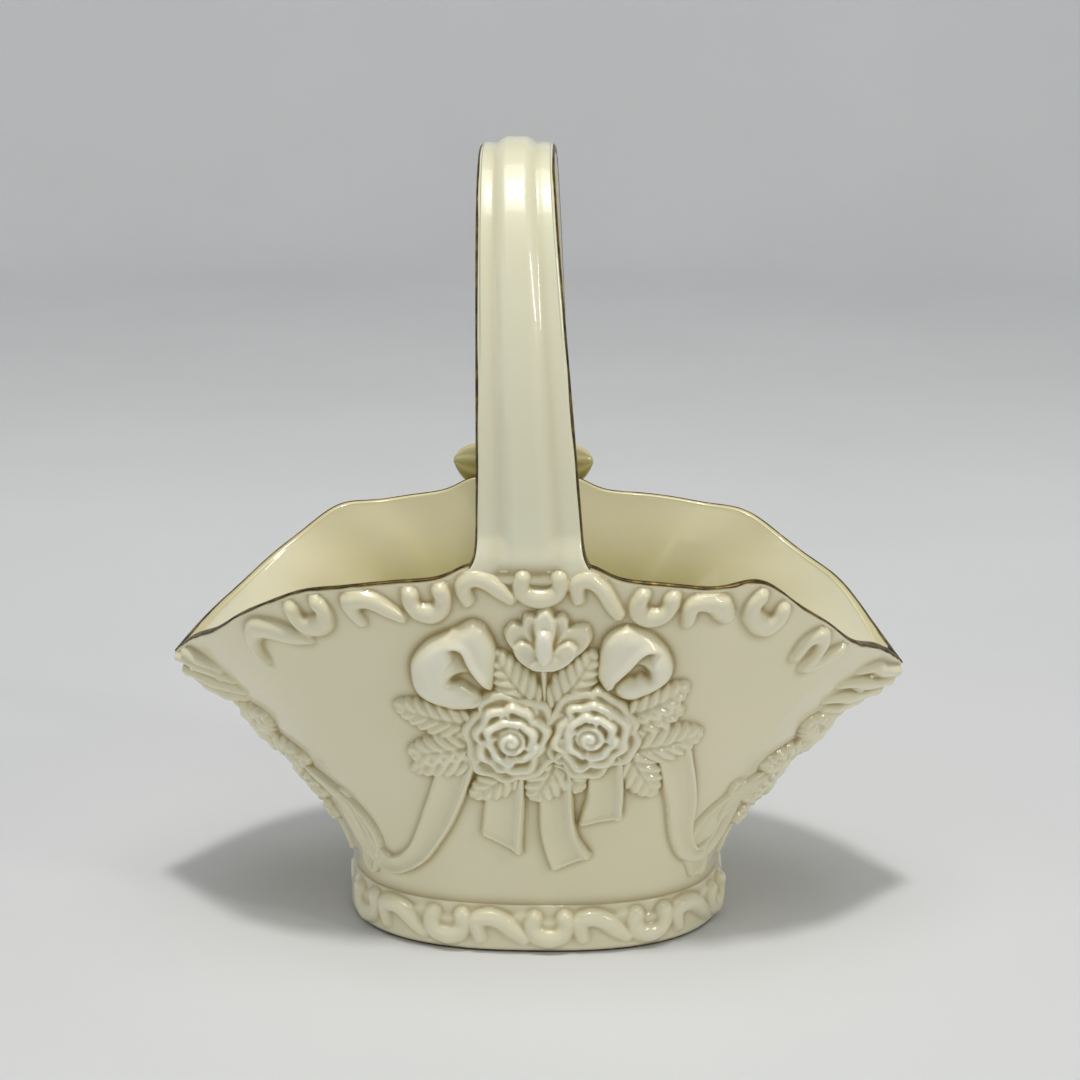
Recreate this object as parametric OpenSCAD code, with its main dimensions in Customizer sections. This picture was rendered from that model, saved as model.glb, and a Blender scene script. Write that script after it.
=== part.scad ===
// Porcelain flower basket with an arched handle.
// An oval bowl flares from a foot ring to a wavy rim with two pulled-out ends.
// A fluted strap handle spans the bowl from front to back, and moulded sprigs
// of roses, leaves and ribbon cover the walls under a border of scrolls.
// Origin: centre of the foot ring's underside. +X runs along the bowl, +Z up.

/* [Bowl] */
// half length of the rim, from the centre to an end
rim_a = 103; // [95:1:115]
// half depth of the rim at the handle
rim_b = 50; // [44:1:56]
// height of the rim at the left end
left_tip_z = 71.5; // [64:0.5:76]
// height of the rim at the right end
right_tip_z = 70.5; // [64:0.5:76]
// height of the rim along the sides
shoulder_z = 107; // [98:1:116]
// extra height of the rim where the handle stands
hump_h = 4; // [2:0.5:6]
// how far the lip stands out at the two ends
tip_bulge = 4; // [2:0.5:5]
// thickness of the wall
wall_t = 4; // [3:0.5:5]
// thickness of the floor
floor_t = 3.5; // [3:0.5:5]

/* [Foot] */
// half length of the foot ring
foot_a = 52.5; // [48:0.5:58]
// half depth of the foot ring
foot_b = 42.5; // [38:0.5:46]
// height of the foot ring
foot_h = 12; // [9:0.5:14]
// width of the foot ring's underside
foot_t = 6; // [4:0.5:9]
// distance the foot ring stands out from the wall above it
foot_step = 1; // [0.5:0.5:2]

/* [Handle] */
// overall height of the basket to the top of the handle
total_h = 217; // [200:1:235]
// width of the handle where it meets the rim
handle_w_base = 28.5; // [26:0.5:32]
// width of the handle at the top of the arch
handle_w_top = 20; // [17:0.5:24]
// thickness of the handle
handle_t = 7; // [5:0.5:9]
// sideways position of the handle's top
handle_top_x = -5; // [-6:0.5:6]
// sideways position of the handle's rear foot
handle_back_x = -5.5; // [-6:0.5:6]

/* [Ornament] */
// sideways position of the rose spray on the wall
motif_x = 4.5; // [-6:0.5:6]
// height of the rose spray's centre
motif_z = 64; // [60:0.5:68]
// radius of a large rose
rose_r = 10; // [8.5:0.1:10.2]
// how far a large rose stands out
rose_h = 6; // [4:0.5:8]
// how far the leaves stand out
leaf_h = 2.6; // [1.5:0.1:4]
// how far the ribbons stand out
ribbon_h = 1.8; // [1:0.1:3]
// half width of a scroll's moulding
scroll_w = 1.7; // [1.2:0.1:1.9]
// how far a scroll stands out
scroll_h = 2.2; // [1.5:0.1:3]
// thickness of the gilding
gilding_t = 0.4; // [0.3:0.1:0.8]
// width of the bow behind the handle
rear_bow_w = 40; // [34:1:46]
// front-to-back depth of that bow
rear_bow_d = 4.5; // [4:0.5:6]

/* [Hidden] */
// exponent of the oval foot: 2 is an ellipse, more is squarer
foot_n = 2.5;
// exponents of the rim's plan outline
rim_p = 4.4;
rim_q = 1.2;
// exponent of the rim's fall towards the ends
rim_k = 3.2;
// reach of the rim's rise beside the handle
hump_reach = 7;
// wave of the rim: rise at each shoulder and dip beyond it, with their distance
// from the middle and their reach. Front right, front left, back left, back right.
shoulder_rise = [5, 1.1, 3, 2.3];
shoulder_dip = [3, 1.7, 1, -2];
rise_at = 61;
rise_reach = 9;
dip_at = 87.5;
dip_reach = 7;
// fraction of the wall's height where the lip of the ends begins
bulge_from = 0.78;
// half turn added to the angle of what lies on the back and the right end
$turn = 0;
// exponent of the handle's arch
arch_n = 2.3;
// depth the handle's feet go down into the wall
handle_sink = 3;
wall_a = foot_a - foot_step;
wall_b = foot_b - foot_step;
wall_z0 = foot_h + floor_t;
handle_z0 = shoulder_z + hump_h;
arch_b = rim_b - handle_t / 2;
arch_h = total_h - handle_z0 - handle_t / 2;
around = 96;
porcelain = [0.90, 0.88, 0.80];
gold = [0.50, 0.38, 0.14];

// cross-sections of a moulding, as [position across, height] with the foot last
tube_section = [[-1, 0], [-0.8, 0.7], [0, 1], [0.8, 0.7], [1, 0], [0, 0]];
band_section = [[-1, 0], [-0.85, 1], [-0.5, 0.6], [0.5, 0.6], [0.85, 1], [1, 0]];
leaf_section = [[-1, 0], [-0.55, 1], [0, 0.65], [0.55, 1], [1, 0], [0, 0]];
// cross-section of the handle, as [position across, position through]
handle_section = [
    [-1, 0.25], [-1, 0.6], [-0.9, 0.76], [-0.62, 0.8], [-0.45, 0.88], [-0.2, 0.98], [0, 1],
    [0.2, 0.98], [0.45, 0.88], [0.62, 0.8], [0.9, 0.76], [1, 0.6], [1, 0.25], [0.8, 0], [-0.8, 0]
];

// ---- the shape of the bowl ----

function spow(v, e) = sign(v) * pow(abs(v), e);
function unit(v) = v / norm(v);

function swell(x, reach) = exp(-pow(x / reach, 2));

// position across the bowl, from -1 at one end to 1 at the other
function across(t) = spow(cos(t), 2 / foot_n);
function depth_at(t) = spow(sin(t), 2 / foot_n);

// outward flare of the wall at fraction s of its height
function flare(s) = s <= 0 ? 0 : 0.75 * pow(s, 1.3) + 0.25 * pow(s, 3);

// height of the rim at position c across the front, or across the back
function rim_height(c, back) =
    let(
        x = rim_a * c,
        hump_x = back ? handle_back_x : 0,
        quarter = (back ? 2 : 0) + ((x > 0) != back ? 0 : 1),
        tip_z = (right_tip_z * (1 + c) + left_tip_z * (1 - c)) / 2
    )
    tip_z + (shoulder_z - tip_z) * (1 - pow(abs(c), rim_k))
        + hump_h * swell(max(abs(x - hump_x) - handle_w_base / 2, 0), hump_reach)
        + shoulder_rise[quarter] * swell(abs(x) - rise_at, rise_reach)
        - shoulder_dip[quarter] * swell(abs(x) - dip_at, dip_reach);
function rim_z(t) = rim_height(across(t), sin(t) > 0);

// point on the wall at angle t and fraction s of the height, moved in by inset
function wall_pt(t, s, inset = 0) =
    let(
        f = flare(s),
        c = across(t),
        lip = inset > 0 ? 0 : tip_bulge * sin(180 * max(0, min(1, (s - bulge_from) / (1 - bulge_from)))),
        x = c * ((wall_a - inset) * (1 - f) + (rim_a - 2 * inset) * f) + lip * spow(c, 15),
        y_foot = (wall_b - inset) * depth_at(t),
        y_rim = (rim_b - inset) * sign(sin(t)) * pow(1 - pow(abs(c), rim_p), rim_q),
        top = rim_height(c * (1 - 1.2 * inset / rim_a), sin(t) > 0),
        z = wall_z0 + (top - wall_z0) * s
    )
    [x, y_foot * (1 - f) + y_rim * f, z];

function wall_normal(t, s) =
    let(
        dt = 1.5,
        ds = 0.01,
        along = wall_pt(t + dt, s) - wall_pt(t - dt, s),
        up = wall_pt(t, s + ds) - wall_pt(t, s - ds)
    )
    unit(cross(along, up));

function wall_out(t, s, h) = wall_pt(t, s) + h * wall_normal(t, s);

// ---- places a moulding can lie: each maps [u, v] and a height to a point ----

function solve_across(x, z, c, k) =
    let(
        t = $turn - acos(spow(c, foot_n / 2)),
        f = flare((z - wall_z0) / (rim_z(t) - wall_z0))
    )
    k == 0 ? c : solve_across(x, z, x / (wall_a * (1 - f) + rim_a * f), k - 1);

// Each is for the front or the left end; $turn = 180 moves it to the back or the right.
// front wall: u is x and v is z
function on_front(u, v, h) =
    let(
        c = solve_across(u, v, u / rim_a, 4),
        t = $turn - acos(spow(c, foot_n / 2)),
        s = (v - wall_z0) / (rim_z(t) - wall_z0)
    )
    wall_out(t, s, h);

// left end wall: u runs round the end and v is z
function on_end(u, v, h) =
    let(
        t = $turn + 180 + asin(spow(u / wall_b, foot_n / 2)),
        s = (v - wall_z0) / (rim_z(t) - wall_z0)
    )
    wall_out(t, s, h);

// under the front rim: u is x at the rim and v the distance below it
function on_rim(u, v, h) =
    let(t = $turn - acos(spow(u / rim_a, foot_n / 2)))
    wall_out(t, 1 - v / (rim_z(t) - wall_z0), h);

// outside of the foot ring: u is x and v is z
function on_foot(u, v, h) =
    let(
        t = $turn - acos(spow(u / foot_a, foot_n / 2)),
        p = foot_pt(t, 0, v),
        along = foot_pt(t + 1, 0, v) - foot_pt(t - 1, 0, v)
    )
    p + h * unit([along[1], -along[0], 0]);

function foot_pt(t, inset, z) = [(foot_a - inset) * across(t), (foot_b - inset) * depth_at(t), z];

function on_place(place, u, v, h) =
    place == "front" ? on_front(u, v, h)
    : place == "end" ? on_end(u, v, h)
    : place == "rim" ? on_rim(u, v, h)
    : on_foot(u, v, h);

// ---- building blocks ----

// solid through a list of rings that all have the same number of points
module sweep(rings, closed = false) {
    n = len(rings);
    k = len(rings[0]);
    points = [for (ring = rings) each ring];
    steps = closed ? n : n - 1;
    sides = [
        for (i = [0:steps - 1], j = [0:k - 1])
            let(
                a = i * k + j,
                b = i * k + (j + 1) % k,
                c = ((i + 1) % n) * k + (j + 1) % k,
                d = ((i + 1) % n) * k + j
            )
            each [[a, b, c], [a, c, d]]
    ];
    caps = closed ? [] : [
        for (j = [1:k - 2])
            each [[0, j + 1, j], [(n - 1) * k, (n - 1) * k + j, (n - 1) * k + j + 1]]
    ];
    polyhedron(points = points, faces = concat(sides, caps), convexity = 6);
}

function bezier(p, t) =
    let(q = 1 - t)
    q * q * q * p[0] + 3 * q * q * t * p[1] + 3 * q * t * t * p[2] + t * t * t * p[3];

// moulding along a path of [u, v] points, with half widths ws and height h
module moulding(place, path, ws, h, section) {
    n = len(path);
    rings = [
        for (i = [0:n - 1])
            let(
                d = path[min(i + 1, n - 1)] - path[max(i - 1, 0)],
                side = unit([-d[1], d[0]])
            )
            [
                for (p = section)
                    let(q = path[i] + side * p[0] * ws[i])
                    on_place(place, q[0], q[1], p[1] * h)
            ]
    ];
    sweep(rings);
}

// pointed leaf from base to tip
module leaf(place, base, tip, w, h = leaf_h) {
    steps = 7;
    side = [-(tip - base)[1], (tip - base)[0]] * 0.08;
    path = [for (i = [0:steps]) base + (tip - base) * i / steps + side * sin(180 * i / steps)];
    ws = [for (i = [0:steps]) 0.35 + w * pow(sin(180 * min(i + 0.3, steps) / (steps + 0.3)), 0.8)];
    moulding(place, path, ws, h, leaf_section);
}

// ribbon along a bezier curve
module ribbon(place, p, w0, w1, h = ribbon_h, steps = 8) {
    path = [for (i = [0:steps]) bezier(p, i / steps)];
    ws = [for (i = [0:steps]) w0 + (w1 - w0) * i / steps];
    moulding(place, path, ws, h, band_section);
}

// ribbon folded into an open loop around centre c, with its ends at angle a
module bow_loop(place, c, rx, rz, a, w, h) {
    steps = 12;
    path = [
        for (i = [0:steps])
            let(q = a + 25 + 310 * i / steps)
            c + [rx * cos(q), rz * sin(q)]
    ];
    moulding(place, path, [for (i = [0:steps]) w], h, band_section);
}

// rose with rings of petals round a bud
module rose(place, c, r, h) {
    profile = [
        [1, 0], [1.02, 0.45], [0.84, 0.62], [0.76, 0.45], [0.66, 0.8],
        [0.52, 0.86], [0.45, 0.62], [0.36, 0.95], [0.2, 1], [0.12, 0.75]
    ];
    petals = 5;
    points = 15;
    rings = [
        for (k = [0:len(profile) - 1])
            [
                for (j = [0:points - 1])
                    let(
                        q = -360 * j / points,
                        wave = 1 + 0.045 * cos(petals * q + 90 * k),
                        rr = r * profile[k][0] * (k == 0 ? 0.96 : wave / 1.07)
                    )
                    on_place(place, c[0] + rr * cos(q), c[1] + rr * sin(q), h * profile[k][1])
            ]
    ];
    sweep(rings);
}

// U-shaped scroll of the border, open towards the rim
module cup_scroll(place, u, v, w, h) {
    steps = 8;
    path = [
        for (i = [0:steps])
            let(q = 180 * i / steps)
            [u + w * cos(q), v + h * (0.1 + 0.9 * pow(sin(q), 0.7))]
    ];
    moulding(place, path, [for (i = [0:steps]) scroll_w], scroll_h, tube_section);
}

// leaf-shaped scroll of the border: a stroke that turns down into a point
module comma_scroll(place, u, v, w, h) {
    steps = 7;
    p = [[u - w, v + h], [u - w, v - 0.35 * h], [u + 0.1 * w, v - 0.1 * h], [u + w, v + h]];
    path = [for (i = [0:steps]) bezier(p, i / steps)];
    ws = [for (i = [0:steps]) scroll_w * (1 - 0.5 * i / steps)];
    moulding(place, path, ws, scroll_h, tube_section);
}

module turned() {
    $turn = 180;
    children();
}

// ---- the body ----

module bowl_wall() {
    rows = 9;
    rings = [
        for (i = [0:around - 1])
            let(t = 360 * i / around)
            concat(
                [for (r = [0:rows]) wall_pt(t, r / rows)],
                [for (r = [0:rows]) wall_pt(t, 1 - r / rows, wall_t)]
            )
    ];
    color(porcelain) sweep(rings, closed = true);
}

module bowl_floor() {
    outline = [for (i = [0:around - 1]) let(p = wall_pt(360 * i / around, 0)) [p[0], p[1]]];
    color(porcelain)
        translate([0, 0, foot_h]) linear_extrude(floor_t) polygon(outline);
}

module foot_ring() {
    color(porcelain) sweep([
        for (i = [0:around - 1])
            let(t = 360 * i / around)
            [
                foot_pt(t, 0, 0),
                foot_pt(t, 0, foot_h - foot_step),
                foot_pt(t, foot_step, foot_h),
                foot_pt(t, foot_t + foot_step, foot_h),
                foot_pt(t, foot_t, 0)
            ]
    ], closed = true);
}

// ---- the handle ----

// centre line of the arch: q is 0 at the front of the rim and 180 at the back
function arch_pt(q) = [
    q < 90 ? handle_top_x * pow(sin(q), 1.1)
    : handle_back_x + (handle_top_x - handle_back_x) * pow(sin(q), 1.1),
    -arch_b * spow(cos(q), 2 / arch_n),
    handle_z0 + arch_h * pow(sin(q), 2 / arch_n)
];
function arch_out(q) =
    let(d = q < 1 ? [0, 0, 1] : q > 179 ? [0, 0, -1] : arch_pt(q + 0.5) - arch_pt(q - 0.5))
    unit([0, -d[2], d[1]]);
function handle_half(q) =
    let(drop = 1 - pow(sin(q), 2 / arch_n))
    (handle_w_top + (handle_w_base - handle_w_top) * pow(drop, 1.1)) / 2;
function handle_pt(q, u, v) =
    arch_pt(q) + [handle_half(q) * u, 0, 0] + arch_out(q) * handle_t * (v - 0.5);

// angles along the arch, closer together near the rim
function arch_steps(n) = [for (i = [0:n]) 90 - 90 * spow(cos(180 * i / n), 0.9)];

module handle() {
    function ring(q, sink) =
        [for (p = handle_section) handle_pt(q, p[0], p[1]) + sink];
    color(porcelain) sweep(concat(
        [ring(0, [0, 0.8, -handle_sink])],
        [for (q = arch_steps(40)) ring(q, [0, 0, 0])],
        [ring(180, [0, -0.8, -handle_sink])]
    ));
}

module handle_gilding(side) {
    steps = arch_steps(40);
    color(gold) sweep([
        for (q = side > 0 ? steps : [for (i = [40:-1:0]) steps[i]])
            [
                handle_pt(q, side, 0.35),
                handle_pt(q, side, 0.6),
                handle_pt(q, side, 0.6) + [side * gilding_t, 0, 0],
                handle_pt(q, side, 0.35) + [side * gilding_t, 0, 0]
            ]
    ]);
}

module handle_gilding_left() handle_gilding(-1);
module handle_gilding_right() handle_gilding(1);

// ---- the gilding ----

// half width of the gap the handle leaves in the rim's gilding
rim_gap = handle_w_base / 2 + 0.6;
function rim_angle(x) = acos(spow(x / rim_a, foot_n / 2));

module rim_gilding(t0, t1) {
    steps = 44;
    up = [0, 0, gilding_t];
    color(gold) sweep([
        for (i = [0:steps])
            let(
                t = t0 + (t1 - t0) * i / steps,
                outer = wall_pt(t, 1),
                inner = wall_pt(t, 1, wall_t)
            )
            [outer, inner, inner + up, outer + up]
    ]);
}
module rim_gilding_right() rim_gilding(-rim_angle(rim_gap), rim_angle(handle_back_x + rim_gap));
module rim_gilding_left() rim_gilding(rim_angle(handle_back_x - rim_gap), 360 - rim_angle(-rim_gap));

module foot_gilding() {
    color(gold) sweep([
        for (i = [0:around - 1])
            let(t = 360 * i / around)
            [
                foot_pt(t, 0, 0),
                foot_pt(t, -gilding_t, 0),
                foot_pt(t, -gilding_t, 1.2),
                foot_pt(t, 0, 1.2)
            ]
    ], closed = true);
}

// ---- the front spray ----

function spray(u, v) = [motif_x + u, motif_z + v];

module front_rose_left() color(porcelain) rose("front", spray(-10.5, -1.5), rose_r, rose_h);
module front_rose_right() color(porcelain) rose("front", spray(10.5, -0.5), rose_r, rose_h);
module front_rosebud() color(porcelain) rose("front", spray(0, 29), 8, 4.5);
module front_bud_leaves() color(porcelain) {
    leaf("front", spray(-3.2, 10.5), spray(-11.5, 23), 3.4);
    leaf("front", spray(3.2, 10.5), spray(11.5, 23), 3.4);
}
module front_bow_loop_left()
    color(porcelain) bow_loop("front", spray(-25, 24), 8, 9, -55, 3.4, 4);
module front_bow_loop_right()
    color(porcelain) bow_loop("front", spray(25, 24), 7.5, 9, -125, 3.4, 4);
module front_leaves_left() color(porcelain) {
    leaf("front", spray(-22.5, 5), spray(-40, 6), 3.3);
    leaf("front", spray(-22.8, -2.5), spray(-38, -4), 3.3);
    leaf("front", spray(-20.5, -9), spray(-35.8, -12.6), 3.3);
}
module front_leaves_right() color(porcelain) {
    leaf("front", spray(23.5, 4.5), spray(38, 8.5), 2.9);
    leaf("front", spray(23.5, -1.5), spray(41, 0), 3.2);
    leaf("front", spray(21.5, -8.5), spray(36, -9.5), 3.2);
}
module front_leaves_lower() color(porcelain) {
    leaf("front", spray(-12, -14), spray(-17, -21.5), 3);
    leaf("front", spray(-2, -12.5), spray(-6.5, -20), 3);
    leaf("front", spray(3, -12.5), spray(6.5, -20), 3);
    leaf("front", spray(14, -13.5), spray(19, -20), 3);
}
module front_swag_left() color(porcelain)
    ribbon("front", [spray(-25, -17), spray(-25, -32), spray(-36, -54), spray(-47, -34)], 3.8, 3, steps = 12);
module front_swag_right() color(porcelain)
    ribbon("front", [spray(31, -15), spray(34, -32), spray(34, -50), spray(43, -38)], 3.8, 3, steps = 12);
module front_tail_left() color(porcelain)
    ribbon("front", [spray(-14, -24), spray(-15, -30), spray(-14, -36), spray(-9, -42)], 4, 4.6);
module front_tail_centre() color(porcelain)
    ribbon("front", [spray(0, -22.5), spray(-2, -32), spray(1, -38), spray(7, -44)], 4, 5.4);
module front_tail_right() color(porcelain)
    ribbon("front", [spray(14, -23), spray(15, -27), spray(14, -30), spray(14, -32)], 4, 4.6);

// ---- the borders ----

// distance from one scroll of the rim border to the next, and the middle one's position
rim_pitch = 15.5;
rim_start = 3;
module front_rim_scrolls() color(porcelain) {
    for (i = [-5:5]) {
        u = rim_start + i * rim_pitch;
        if (i % 2 == 0) cup_scroll("rim", u, 3, 4.4, 7);
        if (i % 2 != 0) comma_scroll("rim", u, 4, 4.4, 6);
    }
    for (side = [-1, 1]) {
        leaf("rim", [side * 86, 6], [side * 98, 5], 1.8, scroll_h);
        leaf("rim", [side * 84, 12.5], [side * 95, 12], 1.8, scroll_h);
    }
}

foot_pitch = 13;
module front_foot_scrolls() color(porcelain) {
    for (i = [-3:3]) {
        if (i % 2 == 0) cup_scroll("foot", i * foot_pitch, 8.6, 3.8, -5);
        if (i % 2 != 0) comma_scroll("foot", i * foot_pitch, 8, 3.8, -4.6);
    }
}

// ---- the end sprays ----

module left_end_roses() color(porcelain) {
    rose("end", [0, 44], 7, 4.5);
    rose("end", [0, 29], 6.5, 4.5);
}
module left_end_leaves() color(porcelain) {
    leaf("end", [8.5, 44], [19, 50], 3);
    leaf("end", [-8.5, 44], [-19, 50], 3);
    leaf("end", [8, 36], [20, 38], 3);
    leaf("end", [-8, 36], [-20, 38], 3);
    leaf("end", [7.5, 25], [17, 22], 2.8);
    leaf("end", [-7.5, 25], [-17, 22], 2.8);
}
module left_end_ribbons() color(porcelain) {
    ribbon("end", [[3.2, 52.5], [6, 55], [7, 57], [8, 60]], 2.2, 2.6);
    ribbon("end", [[-3.2, 52.5], [-6, 55], [-7, 57], [-8, 60]], 2.2, 2.6);
    ribbon("end", [[26, 42], [27, 32], [25, 26], [22, 20]], 2.4, 2.4);
    ribbon("end", [[-26, 42], [-27, 32], [-25, 26], [-22, 20]], 2.4, 2.4);
}

// ---- the bow behind the handle ----

module rear_bow_loop(side) {
    steps = 16;
    rx = (rear_bow_w / 2 - 4) / 2;
    c = [handle_back_x + side * (4 + rx), handle_z0 + 4.5];
    y0 = rim_b + 0.1;
    color(porcelain) sweep([
        for (i = [0:steps - 1])
            let(
                q = 360 * i / steps,
                thick = 0.85 + 0.15 * side * cos(q),
                out = [rx * cos(q), 6 * thick * sin(q)],
                in = out * (1 - 2.6 / norm(out))
            )
            [
                [c[0] + out[0], y0, c[1] + out[1]],
                [c[0] + out[0], y0 + rear_bow_d, c[1] + out[1]],
                [c[0] + in[0], y0 + rear_bow_d, c[1] + in[1]],
                [c[0] + in[0], y0, c[1] + in[1]]
            ]
    ], closed = true);
}
module rear_bow_loop_left() rear_bow_loop(-1);
module rear_bow_loop_right() rear_bow_loop(1);
module rear_bow_knot() color(porcelain)
    translate([handle_back_x, rim_b + rear_bow_d / 2 + 0.1, handle_z0 + 4.5])
        scale([4.2, rear_bow_d / 2, 4.8])
            sphere(1, $fn = 24);

// ---- the back and the right end repeat the front and the left end ----

module back_rose_left() turned() front_rose_left();
module back_rose_right() turned() front_rose_right();
module back_rosebud() turned() front_rosebud();
module back_bud_leaves() turned() front_bud_leaves();
module back_bow_loop_left() turned() front_bow_loop_left();
module back_bow_loop_right() turned() front_bow_loop_right();
module back_leaves_left() turned() front_leaves_left();
module back_leaves_right() turned() front_leaves_right();
module back_leaves_lower() turned() front_leaves_lower();
module back_swag_left() turned() front_swag_left();
module back_swag_right() turned() front_swag_right();
module back_tail_left() turned() front_tail_left();
module back_tail_centre() turned() front_tail_centre();
module back_tail_right() turned() front_tail_right();
module back_rim_scrolls() turned() front_rim_scrolls();
module back_foot_scrolls() turned() front_foot_scrolls();
module right_end_roses() turned() left_end_roses();
module right_end_leaves() turned() left_end_leaves();
module right_end_ribbons() turned() left_end_ribbons();

bowl_wall();
bowl_floor();
foot_ring();
handle();
rim_gilding_left();
rim_gilding_right();
handle_gilding_left();
handle_gilding_right();
foot_gilding();
front_rose_left();
front_rose_right();
front_rosebud();
front_bud_leaves();
front_bow_loop_left();
front_bow_loop_right();
front_leaves_left();
front_leaves_right();
front_leaves_lower();
front_swag_left();
front_swag_right();
front_tail_left();
front_tail_centre();
front_tail_right();
front_rim_scrolls();
front_foot_scrolls();
back_rose_left();
back_rose_right();
back_rosebud();
back_bud_leaves();
back_bow_loop_left();
back_bow_loop_right();
back_leaves_left();
back_leaves_right();
back_leaves_lower();
back_swag_left();
back_swag_right();
back_tail_left();
back_tail_centre();
back_tail_right();
back_rim_scrolls();
back_foot_scrolls();
left_end_roses();
left_end_leaves();
left_end_ribbons();
right_end_roses();
right_end_leaves();
right_end_ribbons();
rear_bow_loop_left();
rear_bow_loop_right();
rear_bow_knot();
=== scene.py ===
import math

import bmesh
import bpy
import numpy as np
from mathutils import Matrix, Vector


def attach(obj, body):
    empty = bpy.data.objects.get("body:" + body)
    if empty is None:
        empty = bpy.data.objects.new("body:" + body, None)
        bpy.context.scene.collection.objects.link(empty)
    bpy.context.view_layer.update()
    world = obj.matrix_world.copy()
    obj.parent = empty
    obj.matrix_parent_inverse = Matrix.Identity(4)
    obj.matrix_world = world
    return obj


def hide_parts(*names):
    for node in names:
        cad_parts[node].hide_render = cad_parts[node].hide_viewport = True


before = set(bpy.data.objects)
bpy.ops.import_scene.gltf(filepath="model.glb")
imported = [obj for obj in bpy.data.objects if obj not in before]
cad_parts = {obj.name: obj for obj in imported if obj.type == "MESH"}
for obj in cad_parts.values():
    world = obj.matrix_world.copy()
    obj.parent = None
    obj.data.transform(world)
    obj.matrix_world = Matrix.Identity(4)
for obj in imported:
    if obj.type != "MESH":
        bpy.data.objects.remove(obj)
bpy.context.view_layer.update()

MM = 0.001

# ---------------------------------------------------------------------------
# The basket's shape in millimetres, with the CAD part's names and formulas
# ---------------------------------------------------------------------------
RIM_A, RIM_B = 103.0, 50.0
LEFT_TIP_Z, RIGHT_TIP_Z = 71.5, 70.5
SHOULDER_Z, HUMP_H, TIP_BULGE = 107.0, 4.0, 4.0
WALL_T, FLOOR_T = 4.0, 3.5
FOOT_A, FOOT_B, FOOT_H, FOOT_T, FOOT_STEP = 52.5, 42.5, 12.0, 6.0, 1.0
TOTAL_H = 217.0
HANDLE_W_BASE, HANDLE_W_TOP, HANDLE_T = 28.5, 20.0, 7.0
HANDLE_TOP_X, HANDLE_BACK_X = -5.0, -5.5
MOTIF_X, MOTIF_Z = 4.5, 64.0
FOOT_N, RIM_P, RIM_Q, RIM_K, HUMP_REACH, ARCH_N = 2.5, 4.4, 1.2, 3.2, 7.0, 2.3
# wave of the rim by quarter: front right, front left, back left, back right
SHOULDER_RISE = np.array([5.0, 1.1, 3.0, 2.3])
SHOULDER_DIP = np.array([3.0, 1.7, 1.0, -2.0])
RISE_AT, RISE_REACH, DIP_AT, DIP_REACH = 61.0, 9.0, 87.5, 7.0
BULGE_FROM = 0.78
WALL_A, WALL_B, WALL_Z0 = FOOT_A - FOOT_STEP, FOOT_B - FOOT_STEP, FOOT_H + FLOOR_T
# the handle springs from the humps in the middle of the rim
HANDLE_Z0 = SHOULDER_Z + HUMP_H
ARCH_B = RIM_B - HANDLE_T / 2
ARCH_H = TOTAL_H - HANDLE_Z0 - HANDLE_T / 2

# how the reliefs are made, in mm
GRID_STEP = 0.27  # spacing of the height fields
RELIEF_SUNK = 1.3  # depth of a relief's hidden face under the surface
KEEP_ABOVE = -0.03  # lowest height of a field that becomes part of its relief
FIELD_LOW = -1.6  # depth to which a field falls outside its outline
FIELD_NONE = -9.0  # stands for no relief at all
EDGE_SLOPE = 1.2  # fall of a field outside its outline, per mm
SINK = 0.034  # puts the flat part of a settled field just under the surface


def spow(v, e):
    """Power that keeps the sign of v."""
    return np.sign(v) * np.abs(v) ** e


def swell(x, reach):
    """Bell of height 1 at x = 0, with the given reach."""
    return np.exp(-((x / reach) ** 2))


def smoothstep(x):
    x = np.clip(x, 0, 1)
    return x * x * (3 - 2 * x)


def across(t):
    """Place across the front, -1 to 1, of angle t round the foot."""
    return spow(np.cos(t), 2 / FOOT_N)


def flare(s):
    """How far the wall has opened from foot to rim at fraction s of its height."""
    s = np.clip(s, 0, None)
    return 0.75 * s**1.3 + 0.25 * s**3


def rim_height(c, back):
    """Height of the rim at position c across the front, or across the back."""
    x = RIM_A * c
    hump_x = np.where(back, HANDLE_BACK_X, 0.0)
    quarter = np.where(back, 2, 0) + np.where((x > 0) != back, 0, 1)
    tip_z = (RIGHT_TIP_Z * (1 + c) + LEFT_TIP_Z * (1 - c)) / 2
    z = tip_z + (SHOULDER_Z - tip_z) * (1 - np.abs(c) ** RIM_K)
    z = z + HUMP_H * swell(np.maximum(np.abs(x - hump_x) - HANDLE_W_BASE / 2, 0), HUMP_REACH)
    z = z + SHOULDER_RISE[quarter] * swell(np.abs(x) - RISE_AT, RISE_REACH)
    return z - SHOULDER_DIP[quarter] * swell(np.abs(x) - DIP_AT, DIP_REACH)


def rim_z(t):
    return rim_height(across(t), np.sin(t) > 0)


def wall_pt(t, s, inset=0.0):
    """Point on the wall at angle t and fraction s of its height, moved in by inset."""
    f = flare(s)
    c = across(t)
    outside = np.asarray(inset) <= 0
    lip = TIP_BULGE * np.sin(math.pi * np.clip((s - BULGE_FROM) / (1 - BULGE_FROM), 0, 1))
    x = c * ((WALL_A - inset) * (1 - f) + (RIM_A - 2 * inset) * f)
    x = x + np.where(outside, lip, 0) * spow(c, 15)
    y_foot = (WALL_B - inset) * spow(np.sin(t), 2 / FOOT_N)
    y_rim = (RIM_B - inset) * np.sign(np.sin(t)) * np.clip(1 - np.abs(c) ** RIM_P, 0, 1) ** RIM_Q
    top = rim_height(c * (1 - 1.2 * inset / RIM_A), np.sin(t) > 0)
    z = WALL_Z0 + (top - WALL_Z0) * s
    return np.stack([x, y_foot * (1 - f) + y_rim * f, z], -1)


def unit(v):
    return v / np.maximum(np.linalg.norm(v, axis=-1, keepdims=True), 1e-9)


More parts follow.
